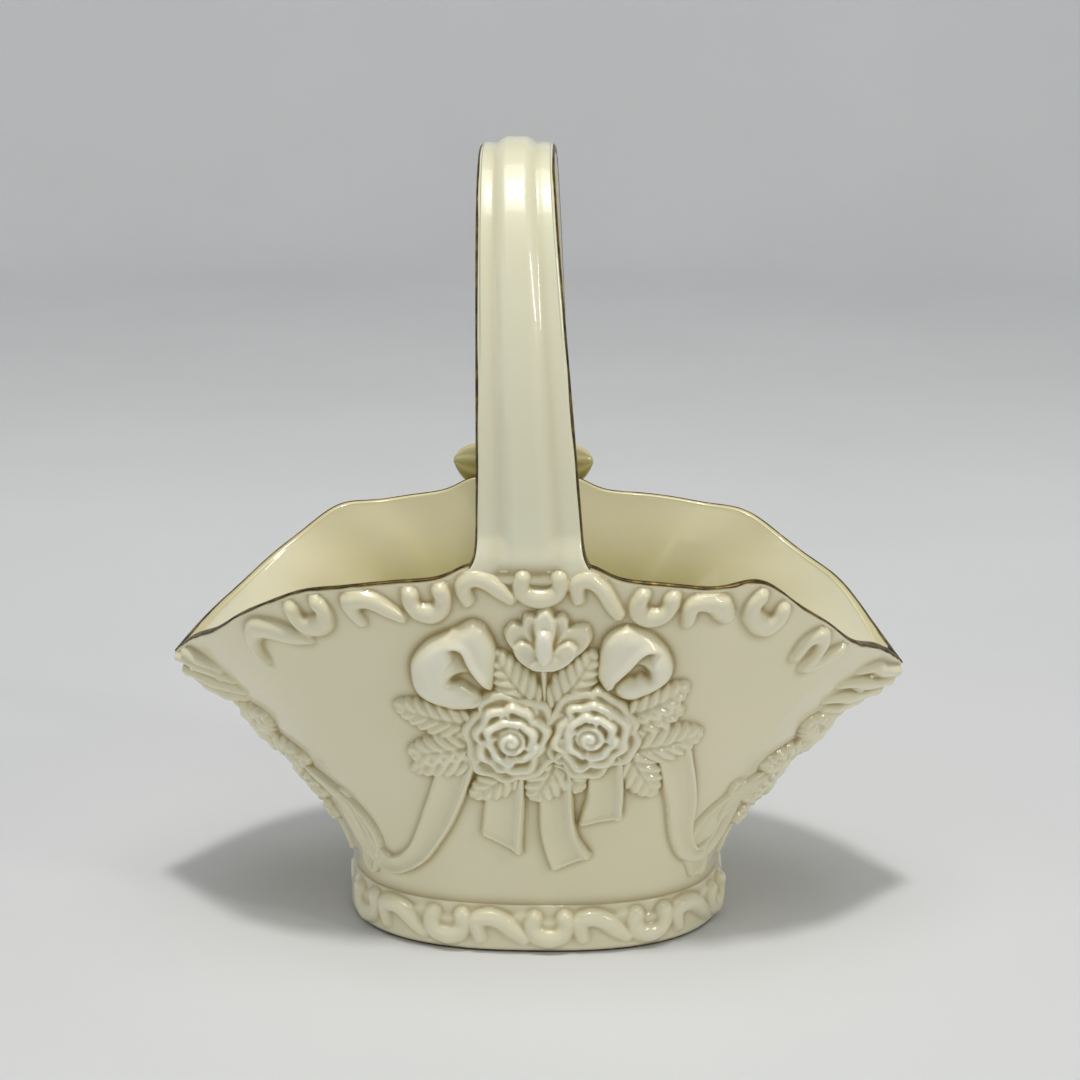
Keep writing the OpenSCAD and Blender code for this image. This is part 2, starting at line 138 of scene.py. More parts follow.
def wall_normal(t, s):
    """Outward normal of the wall, from its slopes over a small step."""
    dt, ds = math.radians(1.2), 0.01
    along = wall_pt(t + dt, s) - wall_pt(t - dt, s)
    up = wall_pt(t, s + ds) - wall_pt(t, s - ds)
    return unit(np.cross(along, up))


def arc_table(curve):
    """Angles along a closed curve's front half, and the length of the curve up to each."""
    t = np.linspace(-math.pi + 1e-4, -1e-4, 4001)
    p = curve(t)
    d = np.concatenate([[0], np.cumsum(np.linalg.norm(np.diff(p, axis=0), axis=1))])
    return t, d - d[-1] / 2


def foot_pt(t, inset, z):
    """Point at height z on the foot, moved in by inset."""
    x = (FOOT_A - inset) * across(t)
    y = (FOOT_B - inset) * spow(np.sin(t), 2 / FOOT_N)
    return np.stack([x, y, z + 0 * t], -1)


RIM_T, RIM_S = arc_table(lambda t: wall_pt(t, np.ones_like(t)))
RIM_X = wall_pt(RIM_T, np.ones_like(RIM_T))[:, 0]
FOOT_TT, FOOT_S = arc_table(lambda t: foot_pt(t, 0.0, 0.0))
FOOT_X = foot_pt(FOOT_TT, 0.0, 0.0)[:, 0]


def rim_u(x):
    return np.interp(x, RIM_X, RIM_S)


def foot_u(x):
    return np.interp(x, FOOT_X, FOOT_S)


# Places a relief can lie. Each maps (u, v) to points and outward normals; half is 0 for the
# front or the left end and pi for the back or the right end.
def on_front(u, v, half):
    """u is x and v is z."""
    c = u / RIM_A
    for _ in range(6):
        t = half - np.arccos(np.clip(spow(c, FOOT_N / 2), -1, 1))
        f = flare((v - WALL_Z0) / (rim_z(t) - WALL_Z0))
        c = np.clip(u / (WALL_A * (1 - f) + RIM_A * f), -1, 1)
    t = half - np.arccos(np.clip(spow(c, FOOT_N / 2), -1, 1))
    s = (v - WALL_Z0) / (rim_z(t) - WALL_Z0)
    return wall_pt(t, s), wall_normal(t, s)


def on_spray(u, v, half):
    return on_front(u + MOTIF_X, v + MOTIF_Z, half)


def on_end(u, v, half):
    """u runs round the end and v is z."""
    t = half + math.pi + np.arcsin(np.clip(spow(u / WALL_B, FOOT_N / 2), -1, 1))
    s = (v - WALL_Z0) / (rim_z(t) - WALL_Z0)
    return wall_pt(t, s), wall_normal(t, s)


def on_rim(u, v, half):
    """u is the length along the rim and v the distance below it."""
    t = half + np.interp(u, RIM_S, RIM_T)
    s = 1 - v / (rim_z(t) - WALL_Z0)
    return wall_pt(t, s), wall_normal(t, s)


def on_foot(u, v, half):
    """u is the length round the foot and v is z."""
    t = half + np.interp(u, FOOT_S, FOOT_TT)
    d = foot_pt(t + 0.02, 0.0, v) - foot_pt(t - 0.02, 0.0, v)
    return foot_pt(t, 0.0, v), unit(np.stack([d[..., 1], -d[..., 0], 0 * t], -1))


# ---------------------------------------------------------------------------
# Meshes
# ---------------------------------------------------------------------------
def make_object(name, verts, faces, attrs=None):
    """verts in mm, faces an (n, 4) or (n, 3) array."""
    me = bpy.data.meshes.new(name)
    verts = np.asarray(verts, dtype=np.float64) * MM
    faces = np.asarray(faces, dtype=np.int64)
    k = faces.shape[1]
    me.vertices.add(len(verts))
    me.vertices.foreach_set("co", verts.ravel())
    me.loops.add(faces.size)
    me.loops.foreach_set("vertex_index", faces.ravel())
    me.polygons.add(len(faces))
    me.polygons.foreach_set("loop_start", np.arange(len(faces)) * k)
    me.polygons.foreach_set("loop_total", np.full(len(faces), k))
    me.update(calc_edges=True)
    me.validate()
    me.polygons.foreach_set("use_smooth", np.ones(len(me.polygons), dtype=bool))
    for key, values in (attrs or {}).items():
        a = me.attributes.new(key, "FLOAT", "POINT")
        a.data.foreach_set("value", np.asarray(values, dtype=np.float32).ravel())
    ob = bpy.data.objects.new(name, me)
    bpy.context.scene.collection.objects.link(ob)
    return ob


def fix_normals(ob):
    """Turns every face of a closed mesh outwards."""
    bm = bmesh.new()
    bm.from_mesh(ob.data)
    bmesh.ops.recalc_face_normals(bm, faces=bm.faces)
    bm.to_mesh(ob.data)
    bm.free()


def finish_piece(ob, material, slot, *nodes):
    """Gives a piece its material, hangs it under the root body and hides the CAD nodes it stands in
    for; slot is not used.
    """
    ob.data.materials.clear()
    ob.data.materials.append(material)
    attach(ob, "root")
    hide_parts(*nodes)
    return ob


def closed_piece(material, slot, node, *mesh):
    """A finished piece from make_object's arguments, with its faces turned outwards."""
    ob = make_object(*mesh)
    fix_normals(ob)
    return finish_piece(ob, material, slot, node)


def tube_faces(n, k, closed_n, closed_k=True):
    """Quads between n rings of k points each."""
    i = np.arange(n if closed_n else n - 1)
    j = np.arange(k if closed_k else k - 1)
    i, j = np.meshgrid(i, j, indexing="ij")
    a = i * k + j
    b = i * k + (j + 1) % k
    c = ((i + 1) % n) * k + (j + 1) % k
    d = ((i + 1) % n) * k + j
    return np.stack([a, b, c, d], -1).reshape(-1, 4)


def capped_tube(rings, first_mid, last_mid):
    """Vertices and triangles of a tube whose ends close on a middle point each."""
    n, k = rings.shape[:2]
    verts = np.concatenate([rings.reshape(-1, 3), [first_mid, last_mid]])
    quads = tube_faces(n, k, False)
    j = np.arange(k)
    after = (j + 1) % k
    last = (n - 1) * k
    faces = [quads[:, [0, 1, 2]], quads[:, [0, 2, 3]]]
    faces.append(np.stack([j, after, np.full(k, n * k)], -1))
    faces.append(np.stack([last + after, last + j, np.full(k, n * k + 1)], -1))
    return verts, np.concatenate(faces)


def strip_caps(n, k):
    """Quads that close the two ends of a tube whose section runs out and back."""
    j = np.arange(k // 2 - 1)
    ends = []
    for base in (0, (n - 1) * k):
        ends.append(np.stack([base + j, base + j + 1, base + k - 2 - j, base + k - 1 - j], -1))
    return ends


def relief_object(name, place, U, V, H, pool_and_painted_shading, half):
    """Closed solid over the part of the grid where H stands above the surface."""
    keep = H > KEEP_ABOVE
    cell = keep[:-1, :-1] | keep[1:, :-1] | keep[:-1, 1:] | keep[1:, 1:]
    # cells that touch only at a corner are joined, so that the solid is manifold
    for _ in range(3):
        a, b, c, d = cell[:-1, :-1], cell[1:, 1:], cell[1:, :-1], cell[:-1, 1:]
        cell[1:, :-1] |= a & b & ~c & ~d
        cell[:-1, :-1] |= c & d & ~a & ~b
    used = np.zeros(H.shape, bool)
    used[:-1, :-1] |= cell
    used[1:, :-1] |= cell
    used[:-1, 1:] |= cell
    used[1:, 1:] |= cell
    ids = -np.ones(H.shape, np.int64)
    n = int(used.sum())
    ids[used] = np.arange(n)
    P, N = place(U[used], V[used], half)
    top = P + N * H[used][:, None]
    low = P - N * RELIEF_SUNK
    ci, cj = np.nonzero(cell)
    a, b, c, d = ids[ci, cj], ids[ci + 1, cj], ids[ci + 1, cj + 1], ids[ci, cj + 1]
    faces = [np.stack([a, b, c, d], -1), np.stack([a, d, c, b], -1) + n]
    pad = np.pad(cell, 1)
    for di, dj, e in ((0, -1, (0, 1)), (1, 0, (1, 2)), (0, 1, (2, 3)), (-1, 0, (3, 0))):
        edge = ~pad[1 + di : 1 + di + cell.shape[0], 1 + dj : 1 + dj + cell.shape[1]] & cell
        ei, ej = np.nonzero(edge)
        q = [ids[ei, ej], ids[ei + 1, ej], ids[ei + 1, ej + 1], ids[ei, ej + 1]]
        p0, p1 = q[e[0]], q[e[1]]
        faces.append(np.stack([p1, p0, p0 + n, p1 + n], -1))
    verts = np.concatenate([top, low])
    faces = np.concatenate(faces)
    # the first top face must look along the surface's outward normal
    f = faces[0]
    looks = np.cross(verts[f[1]] - verts[f[0]], verts[f[3]] - verts[f[0]])
    if looks @ N[f[0]] < 0:
        faces = faces[:, ::-1]
    return make_object(name, verts, faces, {"pool_and_painted_shading": np.concatenate([pool_and_painted_shading[used], np.zeros(n)])})


# ---------------------------------------------------------------------------
# Height fields, in mm above the surface
# ---------------------------------------------------------------------------
def grid(u0, u1, v0, v1):
    u = np.arange(u0, u1 + GRID_STEP / 2, GRID_STEP)
    v = np.arange(v0, v1 + GRID_STEP / 2, GRID_STEP)
    return np.meshgrid(u, v, indexing="ij")


def blur(a, sigma):
    """Gaussian blur, sigma in cells."""
    r = max(1, int(3 * sigma))
    k = np.exp(-0.5 * (np.arange(-r, r + 1) / sigma) ** 2)
    k /= k.sum()
    for ax in (0, 1):
        p = np.pad(a, [(r, r) if i == ax else (0, 0) for i in (0, 1)], mode="edge")
        out = np.zeros_like(a)
        for i, w in enumerate(k):
            out += w * (p[i : i + a.shape[0], :] if ax == 0 else p[:, i : i + a.shape[1]])
        a = out
    return a


def spline(pts, n=10):
    """Catmull-Rom curve through pts."""
    p = np.asarray(pts, float)
    p = np.concatenate([[2 * p[0] - p[1]], p, [2 * p[-1] - p[-2]]])
    out = []
    for i in range(1, len(p) - 2):
        t = np.linspace(0, 1, n, endpoint=False)[:, None]
        a, b, c, d = p[i - 1 : i + 3]
        cubic = (2 * a - 5 * b + 4 * c - d) * t**2 + (3 * b - a - 3 * c + d) * t**3
        out.append(0.5 * (2 * b + (c - a) * t + cubic))
    out.append(p[-2][None])
    return np.concatenate(out)


def along(U, V, curve):
    """Signed distance to the curve, fraction along it, and distance past its ends."""
    best = np.full(U.shape, 1e9)
    side = np.zeros(U.shape)
    frac = np.zeros(U.shape)
    past = np.zeros(U.shape)
    seg = np.diff(curve[:, :2], axis=0)
    ln = np.linalg.norm(seg, axis=1)
    cum = np.concatenate([[0], np.cumsum(ln)])
    last = len(seg) - 1
    for i, (a, d, length) in enumerate(zip(curve[:-1, :2], seg, ln)):
        if length < 1e-9:
            continue
        wu, wv = U - a[0], V - a[1]
        t = (wu * d[0] + wv * d[1]) / (length * length)
        tc = np.clip(t, 0, 1)
        du, dv = wu - tc * d[0], wv - tc * d[1]
        dist = du * du + dv * dv
        m = dist < best
        best[m] = dist[m]
        side[m] = ((d[0] * wv - d[1] * wu) / length)[m]
        frac[m] = ((cum[i] + tc * length) / cum[-1])[m]
        over = np.zeros(U.shape)
        if i == 0:
            over = np.maximum(over, -t * length)
        if i == last:
            over = np.maximum(over, (t - 1) * length)
        past[m] = over[m]
    return np.sqrt(best) * np.sign(side), frac, np.maximum(past, 0)


def round_profile(r):
    """Section of a moulding: 1 in the middle, 0 at the edge."""
    return np.sqrt(np.clip(1 - np.abs(r) ** 2.2, 0, 1))


def band_profile(r):
    """Section of a ribbon: a shallow hollow with a soft left edge and a sharper right one."""
    hollow = np.clip(1 - np.abs(r) ** 7, 0, 1) ** 0.5 * (0.42 + 0.46 * r * r)
    return hollow + 0.32 * np.exp(-(((r - 0.80) / 0.17) ** 2))


def stroke(U, V, pts, width, height, profile=round_profile):
    """Raised stroke along pts. width and height are numbers or lists along the path."""
    d, q, _ = along(U, V, spline(pts))
    w = np.interp(q, np.linspace(0, 1, len(width)), width) if np.ndim(width) else width
    h = np.interp(q, np.linspace(0, 1, len(height)), height) if np.ndim(height) else height
    out = np.abs(d) - w
    return np.where(out < 0, h * profile(np.clip(d / w, -1, 1)), -EDGE_SLOPE * out)


def smax(a, b, k=0.25):
    """Smooth maximum: the two surfaces blend over about k mm."""
    return np.maximum(a, b) + 0.5 * k * np.exp(-np.abs(a - b) / k)


def settle(H, sigma=1.0, fillet=0.28):
    """Rounds a height field like glaze over clay, and lets its foot run out under the surface."""
    H = blur(np.clip(H, FIELD_LOW, None), sigma)
    rest = 0.5 * (FIELD_LOW + math.hypot(FIELD_LOW, fillet))
    return 0.5 * (H + np.sqrt(H * H + fillet * fillet)) - rest - SINK


def cut(H, U, V, a, b):
    """Ends a height field along the line from a to b, with a raised hem along the cut."""
    d = np.array(b, float) - np.array(a, float)
    d /= np.linalg.norm(d)
    out = (U - a[0]) * d[1] - (V - a[1]) * d[0]
    hem = 0.55 * swell(out + 0.9, 0.6)
    return np.where(out < 0, H + np.where(H > 0, hem, 0), np.minimum(H, -EDGE_SLOPE * out))


def along_axis(U, V, base, tip):
    """Distance along and across the line from base to tip, and its length."""
    base, tip = np.array(base, float), np.array(tip, float)
    d = tip - base
    length = np.linalg.norm(d)
    d /= length
    x = (U - base[0]) * d[0] + (V - base[1]) * d[1]
    return x, -(U - base[0]) * d[1] + (V - base[1]) * d[0], length


def leaf_height(U, V, base, tip, w, h, bend=0.0, veins=3.2):
    """Pointed leaf with a sunk midrib, puffed lobes between slanted veins and a scalloped edge."""
    x, y, length = along_axis(U, V, base, tip)
    y = y - bend * length * np.sin(np.pi * np.clip(x / length, 0, 1))
    q = np.clip(x / length, 0, 1)
    lobe = np.abs(np.sin(np.pi * (x - 0.85 * np.abs(y)) / veins)) ** 0.8
    outline = 1.08 * w * np.clip(np.sin(np.pi * q**0.85), 0, 1) ** 0.55
    outline = outline * (0.86 + 0.17 * lobe)
    r = np.abs(y) / np.maximum(outline, 0.05)
    dome = np.clip(1 - np.clip(r, 0, 1) ** 3, 0, 1) ** 0.55
    lift = 0.8 + 0.25 * np.sin(np.pi * q)
    grooves = 0.50 * (1 - lobe) * smoothstep(r * 4)
    rib = 0.52 * np.exp(-((y / 0.55) ** 2)) * (1 - 0.4 * q)
    side = 0.12 * np.clip(r, 0, 1)
    out = np.maximum(np.abs(y) - outline, np.maximum(-x, x - length))
    return np.where(out < 0, h * dome * lift * (1 - grooves - rib + side), -EDGE_SLOPE * out)


def rose_height(U, V, centre, r, h, rng, turn=0.0):
    """Open rose: petals with wavy rolled lips climb in three rings to a rolled centre."""
    u, v = U - centre[0], V - centre[1]
    rho = np.hypot(u, v)
    th = np.arctan2(v, u)
    H = np.full(U.shape, FIELD_NONE)
    # radius and height of the lips, and number of petals
    rings = [(0.98, 0.50, 5), (0.735, 0.72, 5), (0.49, 0.89, 4)]
    for k, (rr, lip, count) in enumerate(rings):
        for i in range(count):
            a = turn + 2 * np.pi * (i + rng.uniform(-0.13, 0.13)) / count + 0.9 * k
            half = np.pi / count * 1.25
            dth = (th - a + np.pi) % (2 * np.pi) - np.pi
            g = dth / half
            wave = 0.055 * np.sin(3.6 * g + rng.uniform(0, 6.28))
            wave = wave + 0.030 * np.sin(8.0 * g + rng.uniform(0, 6.28))
            size = rr * r * rng.uniform(0.96, 1.04)
            lip_r = size * (1 + wave + 0.07 * g) * (1 - 0.16 * np.abs(g) ** 5)
            top = h * (lip + 0.04 * g + 0.6 * wave) * (1 - 0.06 * g * g)
            x = rho - lip_r
            roll = 0.9 - 0.25 * g
            outer = top - 2.0 * np.clip(x - 0.15, 0, None)
            inner = top - (1.1 + 0.5 * k) * np.clip(-x - roll, 0, None)
            petal = np.where(x > 0, outer, inner)
            petal = np.where(x < -2.6, FIELD_NONE, petal)
            H = np.maximum(H, np.where(np.abs(g) < 1, petal, FIELD_NONE))
    # floor of the cups, then a rolled bud in the middle
    floor = h * (0.74 - 0.46 * rho / r)
    H = np.where(rho < r * 0.9, np.maximum(H, floor), H)
    core = 0.30 * r
    roll = 0.5 + 0.5 * np.cos(th - turn - 2 * np.pi * rho / (0.66 * core))
    bud = h * (1.04 - 0.12 * (rho / core) ** 2) - 0.26 * h * roll * smoothstep(rho / core * 2.2)
    H = np.where(rho < core, np.maximum(H - 0.3, bud), H)
    return np.maximum(H, -EDGE_SLOPE * np.maximum(rho - r * 0.9, 0.05))


def petal_height(U, V, base, tip, w, h, cup=0.35):
    """Rounded petal whose lip stands above its middle."""
    x, y, length = along_axis(U, V, base, tip)
    x, y = x / length, y / w
    r = np.sqrt(((x - 0.5) / 0.5) ** 2 + (y / (0.66 + 0.34 * np.clip(x, 0, 1))) ** 2)
    r = r * (1 + 0.022 * np.sin(5 * np.arctan2(y, x - 0.4) + 9 * w))
    lip = 1 - cup * (1 - np.clip(r, 0, 1) ** 3)
    body = h * lip * np.clip(1 - np.clip(r, 0, 1) ** 10, 0, 1) ** 0.5
    return np.where(r < 1, body, -EDGE_SLOPE * (r - 1) * min(w, length / 2))


def polygon_distance(U, V, pts):
    """Distance inside a closed smooth outline through pts, negative outside."""
    loop = spline(list(pts) + [pts[0]], 8)
    d, _, _ = along(U, V, loop)
    d = np.abs(d)
    inside = np.zeros(U.shape, bool)
    for (x0, y0), (x1, y1) in zip(loop[:-1], loop[1:]):
        crosses = (y0 > V) != (y1 > V)
        with np.errstate(divide="ignore", invalid="ignore"):
            at = x0 + (V - y0) * (x1 - x0) / np.where(y1 == y0, 1e-9, y1 - y0)
        inside ^= crosses & (U < at)
    return np.where(inside, d, -d)


def loop_height(U, V, outline, fold, crease, lobe, h):
    """Bow loop: a ribbon bent over a hollow. The hollow starts at the edge of the front band,
    the curve fold, and runs into a crease above the lower lobe (centre and half sizes)."""
    edge = polygon_distance(U, V, outline)
    body = h * np.clip(1 - np.clip(1 - edge / 5.0, 0, 1) ** 2.4, 0, 1) ** 0.5
    d, q, past = along(U, V, spline(fold))
    # y is positive on the side of the fold where the lobe lies
    at = np.argmin((U[:, 0] - lobe[0]) ** 2), np.argmin((V[0] - lobe[1]) ** 2)
    y = d * np.sign(d[at])
    ends = smoothstep((q + 0.02) / 0.25) * np.exp(-((past / 1.6) ** 2))
    reach = 3.0 + 3.2 * q
    deep = 0.62 * h
    hollow = deep * ends * smoothstep((y + 0.25) / 0.8) * swell(np.clip(y, 0, None), reach)
    # the front band dips a little beside its raised edge
    band = 0.16 * h * smoothstep((-y - 0.4) / 2.6) * smoothstep((9 - np.abs(y)) / 3) * ends
    d2, q2, past2 = along(U, V, spline(crease))
    cut_in = deep * swell(d2, 1.25) * smoothstep(q2 * 3) * swell(past2, 1.2)
    body = body - np.where(edge > 0, np.clip(hollow + band + cut_in, 0, 0.82 * h), 0)
    r = ((U - lobe[0]) / lobe[2]) ** 2 + ((V - lobe[1]) / lobe[3]) ** 2
    pillow = 0.86 * h * np.clip(1 - r, 0, 1) ** 0.5
    return np.where(edge > 0, smax(body, np.where(r < 1, pillow, FIELD_NONE), 0.4), EDGE_SLOPE * edge)


# ---------------------------------------------------------------------------
# Materials
# ---------------------------------------------------------------------------
def new_material(name):
    """Empty node material: its node tree and its Principled shader."""
    m = bpy.data.materials.new(name)
    m.use_nodes = True
    nt = m.node_tree
    nt.nodes.clear()
    out = nt.nodes.new("ShaderNodeOutputMaterial")
    bsdf = nt.nodes.new("ShaderNodeBsdfPrincipled")
    nt.links.new(bsdf.outputs["BSDF"], out.inputs["Surface"])
    return m, nt, bsdf


def noise(nt, scale, detail=3.0, rough=0.5):
    coord = nt.nodes.new("ShaderNodeTexCoord")
    n = nt.nodes.new("ShaderNodeTexNoise")
    n.inputs["Scale"].default_value = scale
    n.inputs["Detail"].default_value = detail
    n.inputs["Roughness"].default_value = rough
    nt.links.new(coord.outputs["Object"], n.inputs["Vector"])
    return n


def ramp(nt, source, stops):
    """Colour ramp over source, from (position, colour) stops."""
    r = nt.nodes.new("ShaderNodeValToRGB")
    r.color_ramp.elements[0].position, r.color_ramp.elements[0].color = stops[0]
    r.color_ramp.elements[1].position, r.color_ramp.elements[1].color = stops[-1]
    for p, c in stops[1:-1]:
        e = r.color_ramp.elements.new(p)
        e.color = c
    nt.links.new(source, r.inputs["Fac"])
    return r


def grey(v):
    return (v, v, v, 1)


def mix_color(nt, fac, a, b, blend="MIX"):
    """Mixes two colours, each a value or a socket."""
    m = nt.nodes.new("ShaderNodeMix")
    m.data_type = "RGBA"
    m.blend_type = blend
    for sock, v in ((m.inputs[0], fac), (m.inputs[6], a), (m.inputs[7], b)):
        if isinstance(v, (int, float, tuple)):
            sock.default_value = v
        else:
            nt.links.new(v, sock)
    return m.outputs[2]


def bumped(nt, b, source, strength, distance, sockets=("Normal",)):
    """Bumps the surface of shader b by the value of source."""
    bump = nt.nodes.new("ShaderNodeBump")
    bump.inputs["Strength"].default_value = strength
    bump.inputs["Distance"].default_value = distance
    nt.links.new(source, bump.inputs["Height"])
    for s in sockets:
        nt.links.new(bump.outputs["Normal"], b.inputs[s])


def porcelain(name, clean, light):
    """Ivory glaze. A vertex attribute runs from 0 on high relief, lightened as painted light, through
    CLEAN to 1 in hollows, brown as painted shade (partly also pooled glaze), or greenish-brown shade
    where a second attribute is 1."""
    m, nt, b = new_material(name)
    pool_and_painted_shading = nt.nodes.new("ShaderNodeAttribute")
    pool_and_painted_shading.attribute_name = "pool_and_painted_shading"
    olive_shade = nt.nodes.new("ShaderNodeAttribute")
    olive_shade.attribute_name = "olive_shade"
    # colour ramp: painted light on high relief, the plain glaze at CLEAN, painted shade in hollows
    depth = [(0.0, light + (1,)), (CLEAN, clean + (1,))]
    brown_shade_ramp = ramp(nt, pool_and_painted_shading.outputs["Fac"], depth + [(1.0, POOLED_SHADE_BROWN + (1,))])
    green = ramp(nt, pool_and_painted_shading.outputs["Fac"], depth + [(1.0, SHADE_OLIVE + (1,))])
    tone = mix_color(nt, olive_shade.outputs["Fac"], brown_shade_ramp.outputs["Color"], green.outputs["Color"])
    cloud = noise(nt, 26.0, 3.0)
    tint = ramp(nt, cloud.outputs["Fac"], [(0.3, grey(1.0)), (0.72, (0.965, 0.968, 0.93, 1))])
    base = mix_color(nt, 1.0, tone, tint.outputs["Color"], "MULTIPLY")
    nt.links.new(base, b.inputs["Base Color"])
    b.inputs["Roughness"].default_value = 0.3
    b.inputs["IOR"].default_value = 1.5
    b.inputs["Coat Weight"].default_value = 0.9
    b.inputs["Coat IOR"].default_value = 1.52
    b.inputs["Subsurface Weight"].default_value = 0.1
    b.inputs["Subsurface Radius"].default_value = (1.0, 0.8, 0.45)
    b.inputs["Subsurface Scale"].default_value = 0.0015
    gloss = noise(nt, 90.0, 4.0)
    rough = ramp(nt, gloss.outputs["Fac"], [(0.35, grey(0.02)), (0.75, grey(0.06))])
    nt.links.new(rough.outputs["Color"], b.inputs["Coat Roughness"])
    wobble = noise(nt, 120.0, 2.0)
    bumped(nt, b, wobble.outputs["Fac"], 0.25, 0.0004, ("Normal", "Coat Normal"))
    return m


def gold(name):
    """Worn, brushed-on gold: dark, with brighter flecks."""
    m, nt, b = new_material(name)
    n = noise(nt, 260.0, 5.0, 0.65)
    dark, mid, light = (0.035, 0.021, 0.006, 1), (0.15, 0.095, 0.018, 1), (0.40, 0.27, 0.06, 1)
    tone = ramp(nt, n.outputs["Fac"], [(0.34, dark), (0.55, mid), (0.76, light)])
    nt.links.new(tone.outputs["Color"], b.inputs["Base Color"])
    b.inputs["Metallic"].default_value = 0.7
    rough = ramp(nt, n.outputs["Fac"], [(0.3, grey(0.5)), (0.7, grey(0.28))])
    nt.links.new(rough.outputs["Color"], b.inputs["Roughness"])
    bumped(nt, b, n.outputs["Fac"], 0.4, 0.0002)
    return m


# painted shade colours: brown in hollows beside relief (partly also pooled glaze), olive inside the
# bowl and on the rear bow; each glaze's second colour is painted light on high relief
CLEAN = 0.3
POOLED_SHADE_BROWN = (0.46, 0.34, 0.12)
SHADE_OLIVE = (0.46, 0.40, 0.095)
mat_body = porcelain("glaze_body", (0.86, 0.80, 0.565), (0.93, 0.905, 0.735))
mat_sprig = porcelain("glaze_sprigs", (0.86, 0.80, 0.565), (0.96, 0.935, 0.775))
mat_handle = porcelain("glaze_handle", (0.86, 0.84, 0.635), (0.93, 0.905, 0.735))
mat_gold = gold("gilding")

# ---------------------------------------------------------------------------
# Spray on the front and the back: height fields in mm from the spray's centre
# ---------------------------------------------------------------------------
GU, GV = grid(-62.0, 56.0, -52.0, 42.0)
rng = np.random.default_rng(7)


def joined(*fields):
    """Height fields blended into one."""
    out = fields[0]
    for f in fields[1:]:
        out = smax(out, f, 0.3)
    return out


def leaves(*specs):
    return joined(*[leaf_height(GU, GV, *spec) for spec in specs])


spray = {}
spray["rose_left"] = rose_height(GU, GV, (-9.4, -0.9), 12.6, 6.6, rng, 0.4)
spray["rose_right"] = rose_height(GU, GV, (11.3, 0.4), 12.4, 6.6, rng, 1.9)

BUD_FOOT = (-0.9, 19.0)
spray["rosebud"] = joined(
    petal_height(GU, GV, (-2.0, 20.5), (-10.0, 31.5), 4.2, 3.3, 0.45),
    petal_height(GU, GV, (0.5, 20.0), (11.0, 31.0), 4.6, 3.3, 0.45),
    petal_height(GU, GV, (-0.8, 24.0), (-5.2, 34.6), 3.2, 3.6, 0.4),
    petal_height(GU, GV, (-0.4, 24.0), (4.4, 34.4), 3.2, 3.6, 0.4),
    petal_height(GU, GV, (-0.6, 23.0), (-0.4, 36.5), 3.4, 4.6, 0.15),
    petal_height(GU, GV, (-0.6, 20.5), (-0.8, 31.5), 3.0, 5.6, -0.1),
    petal_height(GU, GV, BUD_FOOT, (-8.2, 26.6), 3.6, 4.6, 0.3),
    petal_height(GU, GV, BUD_FOOT, (7.6, 26.4), 3.6, 4.9, 0.3),
    petal_height(GU, GV, (-4.6, 19.6), (3.4, 23.0), 2.8, 4.4, 0.1),
    stroke(GU, GV, [(-0.9, 21), (-0.8, 15), (-0.6, 8)], [1.3, 0.8, 0.8], [3.0, 2.4, 2.2]),
)
spray["bud_leaves"] = leaves(
    ((-1.8, 6.0), (-14.6, 24.2), 5.6, 3.0, 0.03),
    ((0.4, 6.0), (13.0, 24.4), 5.6, 3.0, -0.03),
)

LOOP_H = 5.4
LOOP_LEFT = [
    (-16.3, 31.0), (-19.8, 32.6), (-25.1, 30.0), (-31.4, 26.8), (-35.4, 21.7), (-36.0, 16.8),
    (-34.4, 11.6), (-29.6, 8.4), (-23.2, 7.2), (-17.8, 7.9), (-13.9, 13.3), (-12.9, 21.7),
    (-13.9, 26.6),
]
LOOP_RIGHT = [
    (13.6, 23.6), (15.0, 27.8), (18.0, 30.6), (22.2, 31.4), (26.8, 29.8), (31.0, 25.6),
    (33.0, 20.7), (32.4, 16.6), (29.0, 13.2), (23.9, 10.6), (19.5, 10.2), (15.6, 12.6),
    (12.8, 17.3),
]
FOLD_LEFT = [(-27.4, 25.4), (-23.0, 24.9), (-20.4, 19.6), (-16.2, 13.2)]
CREASE_LEFT = [(-27.6, 15.2), (-22.6, 16.6), (-19.4, 15.0), (-16.0, 12.2)]
FOLD_RIGHT = [(30.0, 24.8), (25.6, 24.6), (21.2, 19.6), (16.8, 14.2)]
CREASE_RIGHT = [(27.8, 15.4), (25.2, 19.0), (22.4, 18.4), (18.6, 15.2)]
LOBE_LEFT, LOBE_RIGHT = (-23.6, 10.8, 6.4, 4.0), (21.8, 13.8, 4.4, 3.6)
spray["bow_loop_left"] = loop_height(
    GU, GV, LOOP_LEFT, FOLD_LEFT, CREASE_LEFT, LOBE_LEFT, LOOP_H
)
spray["bow_loop_right"] = loop_height(
    GU, GV, LOOP_RIGHT, FOLD_RIGHT, CREASE_RIGHT, LOBE_RIGHT, LOOP_H
)

spray["leaves_left"] = leaves(
    ((-18.0, 2.2), (-41.0, 7.8), 5.0, 3.0, 0.03),
    ((-17.0, -2.6), (-37.6, -6.6), 5.2, 3.0, 0.03),
    ((-16.0, -7.4), (-36.8, -11.6), 4.4, 2.8, -0.04),
)
spray["leaves_right"] = leaves(
    ((20.0, 5.0), (37.4, 14.2), 4.6, 3.0, -0.04),
    ((20.5, 1.6), (36.4, 7.0), 3.6, 2.9),
    ((20.0, -4.6), (41.4, -0.8), 5.6, 3.0, -0.03),
)
spray["leaves_lower"] = leaves(
    ((-7.0, -8.4), (-21.0, -18.6), 5.0, 2.8, 0.05),
    ((2.6, -7.0), (-4.6, -19.4), 6.0, 3.0, 0.05),
    ((3.6, -8.0), (9.4, -17.0), 4.4, 2.8),
    ((21.0, -5.0), (28.4, -19.0), 5.6, 2.8),
)

